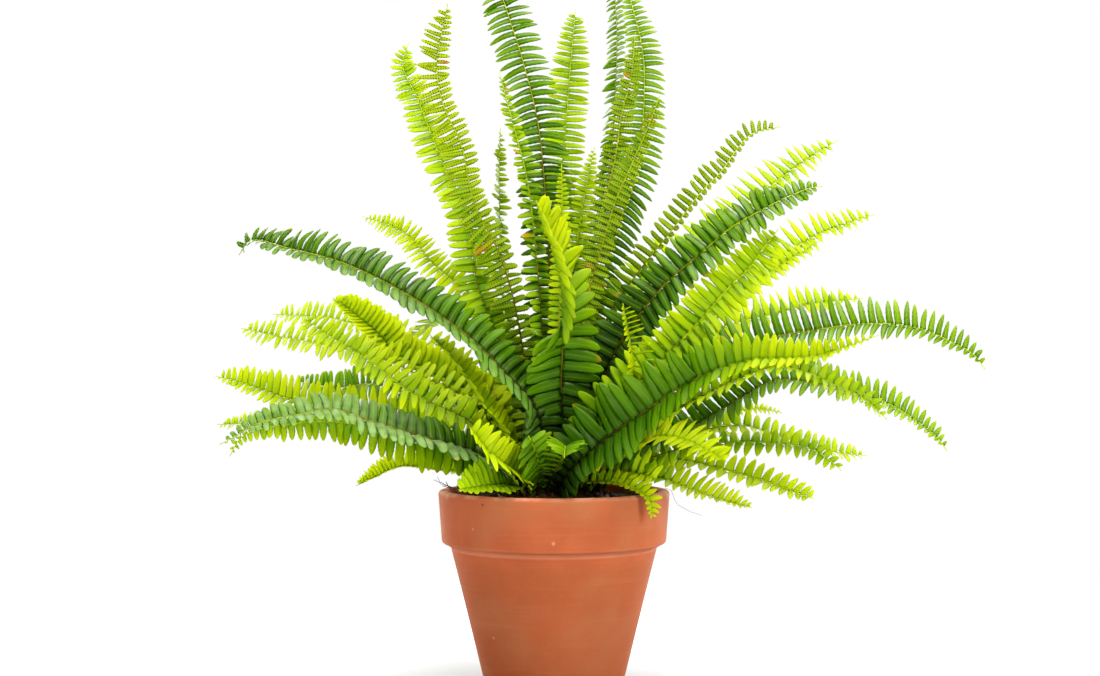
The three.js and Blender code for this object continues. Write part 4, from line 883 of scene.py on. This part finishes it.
def add_scale(shell, radius, angle, draws):
    """A thin brown scale that stands on the rootstock."""
    out = np.array([math.cos(angle), math.sin(angle), 0.0])
    foot = out * radius + [0, 0, crown_height(radius) - 0.5]
    way = unit(out * draws.normal(0.5, 0.5) + [draws.normal(0, 0.4), draws.normal(0, 0.4), 1])
    side = unit(np.cross(way, draws.normal(size=3)))
    off = np.cross(way, side)
    long, half = draws.uniform(2.5, 6), draws.uniform(0.4, 0.9)
    tip = foot + way * long + off * draws.normal(0, 0.8)
    corners = [foot + side * half * across + off * 0.15 * up for up in (-1, 1) for across in (-1, 1)]
    shell.add([*corners, tip], [(0, 2, 3, 1)], [(0, 1, 4), (3, 2, 4), (1, 3, 4), (2, 0, 4)],
              tone=draws.uniform(0.2, 1))


def add_rootstock(look):
    """The low dome that the fronds grow from, and its scales."""
    profile = [[0.01, CROWN.base], [CROWN.radius - 4, CROWN.base]]
    profile += [[r, crown_height(r)] for r in np.linspace(CROWN.radius, 0.01, 30)]
    shell = Shell("tone")
    turned(shell, np.array(profile), 96,
           (CROWN.base + 6, CROWN.shoulder, CROWN.lumps, 11, (3, 6, 11)), tone=0.35)
    draws = np.random.default_rng(13)
    for _ in range(CROWN.scales):
        radius = CROWN.radius * math.sqrt(draws.uniform(0, 0.98))
        add_scale(shell, radius, draws.uniform(0, ROUND), draws)
    piece(shell.mesh("fern_rootstock"), "rootstock", ["rootstock"], look)


def add_rootlets(look):
    """Wiry roots that have come up out of the soil and over the rim."""
    shell = Shell("tone")
    draws = np.random.default_rng(41)
    marks = np.linspace(0, 1, ROOTLET.steps)
    for radius, *path in ROOTLETS:
        centre, along = curve_at(spaced(path, 1.0)[0], marks)
        centre = centre + draws.normal(0, ROOTLET.wander, centre.shape) * marks[:, None]
        side = unit(np.cross(along, [0.1, 0.2, 1.0]))
        add_tube(shell, centre, along, np.cross(side, along), side,
                 radius * mix(1, ROOTLET.thin, marks), ROOTLET.sides,
                 tone=draws.uniform(0, 1, ROOTLET.steps))
    piece(shell.mesh("fern_rootlets"), "rootstock", [], look)


class Nodes:
    """The nodes of a material or a world, added one after another."""

    def __init__(self, owner):
        self.owner = owner
        owner.use_nodes = True
        self.tree = owner.node_tree
        self.tree.nodes.clear()

    def new(self, kind, inputs=None, **settings):
        node = self.tree.nodes.new(kind)
        for key, value in settings.items():
            setattr(node, key, value)
        for key, value in (inputs or {}).items():
            self.set(node, key, value)
        return node

    def set(self, node, key, value):
        if isinstance(value, bpy.types.Node):
            value = value.outputs[0]
        if isinstance(value, bpy.types.NodeSocket):
            self.tree.links.new(value, node.inputs[key])
        else:
            if node.inputs[key].type == "RGBA" and len(value) == 3:
                value = (*value, 1)
            node.inputs[key].default_value = value

    def attributes(self, *names):
        return [self.new("ShaderNodeAttribute", attribute_name=name,
                         attribute_type="GEOMETRY").outputs["Fac"] for name in names]

    def math(self, operation, *values, clamp=False):
        node = self.new("ShaderNodeMath", operation=operation, use_clamp=clamp)
        for i, value in enumerate(values):
            self.set(node, i, value)
        return node.outputs[0]

    def chain(self, operation, first, *others):
        for other in others:
            first = self.math(operation, first, other)
        return first

    times = partialmethod(chain, "MULTIPLY")
    plus = partialmethod(chain, "ADD")
    most = partialmethod(chain, "MAXIMUM")

    def times_plus(self, value, factor, added):
        return self.math("MULTIPLY_ADD", value, factor, added)

    def ramp(self, factor, *stops):
        node = self.new("ShaderNodeValToRGB", {"Fac": factor})
        elements = node.color_ramp.elements
        while len(elements) < len(stops):
            elements.new(0.5)
        for element, (position, colour) in zip(elements, stops):
            element.position = position
            element.color = (*colour, 1)
        return node.outputs["Color"]

    def span(self, value, low, high, to_low=0.0, to_high=1.0, smoothly=True):
        """Takes values from low to high on to values from to_low to to_high."""
        return self.new("ShaderNodeMapRange", {
            "Value": value, "From Min": low, "From Max": high, "To Min": to_low,
            "To Max": to_high}, interpolation_type="SMOOTHSTEP" if smoothly else "LINEAR"
            ).outputs["Result"]

    def blend(self, share, a, b):
        return self.new("ShaderNodeMix", {0: share, 6: a, 7: b}, data_type="RGBA").outputs[2]

    def place(self):
        return self.new("ShaderNodeTexCoord").outputs["Object"]

    def away(self, spot):
        """How far it is to a spot that is given in millimetres, in metres."""
        return self.new("ShaderNodeVectorMath", {0: self.place(), 1: [v * SCALE for v in spot]},
                        operation="DISTANCE").outputs["Value"]

    def noise(self, size, detail=4.0, rough=0.55, stretch=(1, 1, 1), seed=0.0):
        """Noise whose main lumps are about this many millimetres."""
        mapped = self.new("ShaderNodeMapping", {"Vector": self.place(), "Scale": stretch,
                                                "Location": (seed, seed, seed)})
        return self.new("ShaderNodeTexNoise", {"Vector": mapped, "Scale": 1 / (size * SCALE),
                                               "Detail": detail, "Roughness": rough}).outputs["Fac"]

    def bump(self, height, distance, strength):
        return self.new("ShaderNodeBump", {"Height": height, "Distance": distance * SCALE,
                                           "Strength": strength})

    def surface(self, colour, rough, normal=None, shine=0.5):
        inputs = {"Base Color": colour, "Roughness": rough, "Specular IOR Level": shine}
        return self.new("ShaderNodeBsdfPrincipled", inputs | ({"Normal": normal} if normal else {}))

    def mixed(self, share, first, second):
        return self.new("ShaderNodeMixShader", {0: share, 1: first, 2: second})

    def finish(self, shader, output="ShaderNodeOutputMaterial"):
        self.new(output, {"Surface": shader})
        return self.owner


def leaf_lines(make, side, run):
    """Where a leaflet's side veins and its middle vein show."""
    slant = make.times_plus(side, -0.8, run)
    veins = make.math("SINE", make.times(slant, ROUND / LEAF.vein_pitch))
    return make.most(make.span(veins, 0.55, 1.0, 0.0, 0.22), make.span(side, 0.12, 0.45, 0.55, 0.0))


def spore_dots(make, sori, under, across, half, reach, run):
    """Round spore dots in a row along each side of the middle vein."""
    along = make.math("FRACT", make.math("DIVIDE", run, SORI.pitch))
    along = make.times(make.math("SUBTRACT", along, 0.5), SORI.pitch)
    aside = make.times(make.math("SUBTRACT", across, SORI.across), half)
    far = make.math("SQRT", make.plus(make.times(along, along), make.times(aside, aside)))
    return make.times(make.span(far, SORI.radius, SORI.radius * 0.7), sori,
                      make.math("GREATER_THAN", under, 0.2), make.span(reach, 0.95, 0.85))


def leaf_look():
    """The leaflets' material: what they send back and what comes through them."""
    make = Nodes(bpy.data.materials.new("fern_leaflet"))
    age, tone, across, reach, run, under, half, dry, sori, bloom, pale = make.attributes(
        "age", "tone", "across", "reach", "run", "under", "half", "dry", "sori", "bloom", "pale")
    old = make.plus(age, make.span(reach, 1.0, 0.0, -0.12, 0.24, smoothly=False),
                    make.times_plus(tone, 0.24, -0.12), make.times_plus(make.noise(14, 2), 0.2, -0.1))
    old = make.math("DIVIDE", old, 1.3, clamp=True)
    colour = make.ramp(old, *((place, sent) for place, sent, _ in LEAF_AGES))
    light = make.ramp(old, *((place, through) for place, _, through in LEAF_AGES))

    def tinted(share, tint, light_share=1.0):
        """The colour and the light with a share of a tint; the light takes less of it."""
        return (make.blend(share, colour, tint),
                make.blend(make.times(share, light_share), light, tint))

    # The pale share lifts the colour and the light towards a bright yellow: painted light.
    colour, light = tinted(pale, LEAF.bright)
    # A pale painted sheen in patches, a painted reflection of the white room.
    sheen_share = make.times(bloom, make.span(make.noise(7, 3), 0.3, 0.65, 0.35, 1.0))
    colour, light = tinted(sheen_share, LEAF.bloom, 0.5)
    side = make.times(across, half)
    lines = leaf_lines(make, side, run)
    colour = make.blend(make.times(lines, 0.45), colour, LEAF.vein)
    rim = make.times(make.span(across, 0.75, 1.0, 0.0, 0.5), make.span(age, 1.2, 0.1, 0.3, 1.0))
    colour = make.blend(make.times(rim, 0.3), colour, LEAF.vein)
    colour, light = tinted(make.times(under, make.times_plus(sori, 0.4, 0.3)), LEAF.under, 0.6)
    tips = make.times(make.span(reach, 0.8, 1.0), make.span(tone, 0.9, 0.97), 0.6)
    dried = make.times(dry, make.span(make.plus(reach, make.noise(6, 2)), 0.5, 1.1))
    colour, light = tinted(make.most(dried, tips),
                           make.blend(make.noise(9, 2), LEAF.dry_light, LEAF.dry_dark))
    light = make.blend(make.times(lines, 0.3), light, LEAF.vein_lit)
    dots = spore_dots(make, sori, under, across, half, reach, run)
    colour, light = make.blend(dots, colour, SORI.colour), make.blend(dots, light, SORI.lit)
    raised = make.times_plus(make.noise(1.6, 3), 0.5, make.times(lines, -0.8))
    normal = make.bump(raised, 0.22, 0.55)
    solid = make.surface(colour, make.span(age, 0.1, 0.9, 0.48, 0.34), normal, 0.18)
    thin = make.new("ShaderNodeBsdfTranslucent", {"Color": light, "Normal": normal})
    share = make.span(age, 0.0, 1.0, LEAF.through_new, LEAF.through_old, smoothly=False)
    return make.finish(make.mixed(share, solid, thin))


def rib_look():
    """The ribs' material: browner towards the foot."""
    make = Nodes(bpy.data.materials.new("fern_rib"))
    age, reach = make.attributes("age", "reach")
    foot = make.times(make.math("POWER", make.math("SUBTRACT", 1.0, reach), 1.5), 1.3)
    speckle = make.times_plus(make.noise(2.5, 3, stretch=(1, 1, 0.4)), 0.4, -0.2)
    colour = make.ramp(make.plus(make.times_plus(age, 0.35, -0.12), foot, speckle), *RIB_AGES)
    return make.finish(make.surface(colour, 0.55, make.bump(make.noise(1.2, 3), 0.15, 0.6), 0.2))


def clay_look():
    """The pot's material: blotches, the body below the band darkened as painted shade, paler edges and
    rim top, a painted highlight along the band's lower edge, chips, painted highlights at the rim's ends,
    and turning marks.
    """
    make = Nodes(bpy.data.materials.new("terracotta_clay"))
    pointed = make.new("ShaderNodeNewGeometry").outputs["Pointiness"]
    height = make.new("ShaderNodeSeparateXYZ", {0: make.place()}).outputs["Z"]
    height = make.times(height, 1 / SCALE)
    fine, grain = make.noise(3.0, 6, 0.65), make.noise(0.9, 3, 0.7)
    streaks = make.noise(80, 4, 0.6, stretch=(1, 1, 22))
    colour = make.blend(make.span(make.noise(38, 3, 0.6), 0.32, 0.7), CLAY.deep, CLAY.main)
    for value, low, high, most, tint in (
            # the body below the band is darker: painted shade
            (height, POT.neck_height - 4, POT.neck_height - 14, 0.55, CLAY.damp),
            (make.noise(55, 2, 0.5, seed=3.0), 0.42, 0.66, 0.6, CLAY.tan),
            (streaks, 0.5, 0.75, 0.22, CLAY.light), (fine, 0.52, 0.74, 0.2, CLAY.light),
            (grain, 0.62, 0.75, 0.3, CLAY.speck)):
        colour = make.blend(make.times(make.span(value, low, high), most), colour, tint)
    # A painted highlight along the band's lower edge, where the neck rounds in.
    neck_highlight = make.times(make.span(height, POT.neck_height + 3, POT.neck_height + 1),
                      make.span(height, POT.neck_height - 2.5, POT.neck_height),
                      make.span(make.noise(30, 2), 0.3, 0.6, 0.12, 0.3))
    lip = make.times(make.span(height, POT.height - 3.5, POT.height - 0.5),
                     make.span(make.noise(16, 4, seed=5.0), 0.4, 0.62, 0.08, 0.5))
    edge = make.most(make.span(pointed, 0.51, 0.56, 0.0, 0.55), neck_highlight, lip)
    ragged = make.times_plus(make.noise(1.4, 4, 0.7), 4.5 * SCALE, -2.2 * SCALE)

    def ragged_spot(spot, radius, inner, most):
        """A ragged spot that is full up to the radius inner, all in millimetres."""
        away = make.math("SUBTRACT", make.away(spot), ragged)
        return make.span(away, radius * SCALE, inner * SCALE, 0.0, most)

    # Pale chips, and the two large spots are painted highlights at the rim's right and left ends.
    for *spot, radius in CHIPS_AND_HIGHLIGHTS:
        edge = make.most(edge, ragged_spot(spot, radius, 0.2 * radius, 0.6))
    colour = make.blend(edge, colour, CLAY.pale)
    *spot, radius = NICK
    colour = make.blend(ragged_spot(spot, radius, 0.0, 0.8), colour, CLAY.nick)
    turning = make.noise(14, 3, 0.6, stretch=(0.02, 0.02, 9))
    heights = make.plus(make.times(turning, 0.5), make.times(grain, 0.25), make.times(fine, 0.35))
    return make.finish(make.surface(colour, 0.85, make.bump(heights, 0.5, 0.5), 0.2))


def earth_look(name, dark, light, rough):
    """A crumbly material between two colours."""
    make = Nodes(bpy.data.materials.new(name))
    [tone] = make.attributes("tone")
    mixed = make.times_plus(make.noise(3.0, 5, 0.65), 0.9, make.times(tone, 0.7))
    colour = make.ramp(make.math("SUBTRACT", mixed, 0.25), (0.1, dark), (0.9, light))
    return make.finish(make.surface(colour, rough, make.bump(make.noise(1.1, 5, 0.7), 0.6, 0.8), 0.3))


def add_camera():
    data = bpy.data.cameras.new("photo_camera")
    data.sensor_width = SENSOR
    data.lens = SENSOR * FOCAL / FRAME_WIDTH
    data.clip_start = NEAR_CLIP
    camera = shown(data, "photo_camera")
    camera.location = EYE * SCALE
    camera.rotation_euler = (math.radians(90 + PITCH), 0, 0)
    bpy.context.scene.camera = camera


def add_world():
    """A room that is white to the camera and a dimmer light to the object."""
    world = bpy.data.worlds.new("white_room")
    bpy.context.scene.world = world
    make = Nodes(world)
    seen = make.new("ShaderNodeLightPath").outputs["Is Camera Ray"]
    lit = make.new("ShaderNodeBackground", {"Color": ROOM.colour, "Strength": ROOM.light})
    white = make.new("ShaderNodeBackground", {"Color": WHITE, "Strength": 1.0})
    make.finish(make.mixed(seen, lit, white), "ShaderNodeOutputWorld")


def add_lights():
    for name, place, size, power, colour, seen in LIGHTS:
        data = bpy.data.lights.new(name, "AREA")
        data.shape = "RECTANGLE"
        data.size, data.size_y = size
        data.energy = power
        data.color = colour
        light = shown(data, name)
        light.rotation_euler = (Vector(LIT) - Vector(place)).to_track_quat("-Z", "Y").to_euler()
        light.location = place
        light.visible_camera = seen


def add_floor():
    """A round pale floor, with a painted shadow round the pot's foot, that fades into the white of the
    room.
    """
    shell = Shell("far", "near")
    far, near = smooth(FLOOR_RADII, *FLOOR.fade), np.interp(FLOOR_RADII, *zip(*FOOT_SHADE))
    turned(shell, np.stack([FLOOR_RADII, np.full(len(FLOOR_RADII), FLOOR.height)], axis=1),
           FLOOR.sides, far=np.repeat(far, FLOOR.sides), near=np.repeat(near, FLOOR.sides))
    mesh = shell.mesh("floor")
    floor = shown(mesh, "floor")
    make = Nodes(bpy.data.materials.new("floor_white"))
    far, near = make.attributes("far", "near")
    solid = make.surface(make.blend(near, FLOOR.light, FLOOR.dark), 0.7)
    glow = make.new("ShaderNodeEmission", {"Color": WHITE, "Strength": 1.0})
    seen = make.new("ShaderNodeLightPath").outputs["Is Camera Ray"]
    mesh.materials.append(make.finish(make.mixed(make.times(far, seen), solid, glow)))


def set_tones():
    """Plain tones, with the deepest ones a little darker."""
    view = bpy.context.scene.view_settings
    view.view_transform = "Standard"
    view.use_curve_mapping = True
    for dark, darker in TOE:
        view.curve_mapping.curves[3].points.new(dark, darker)
    view.curve_mapping.update()


def write_sizes():
    bpy.context.view_layer.update()


set_tones()
root_fronds()
ease_apart()
add_camera()
add_world()
add_lights()
add_floor()
add_pot(clay_look())
add_soil(earth_look("potting_soil", *SOIL_COLOURS, 0.95))
root_look = earth_look("rootstock", *CROWN_COLOURS, 0.85)
add_rootstock(root_look)
add_rootlets(root_look)
add_fronds(rib_look(), leaf_look())
write_sizes()
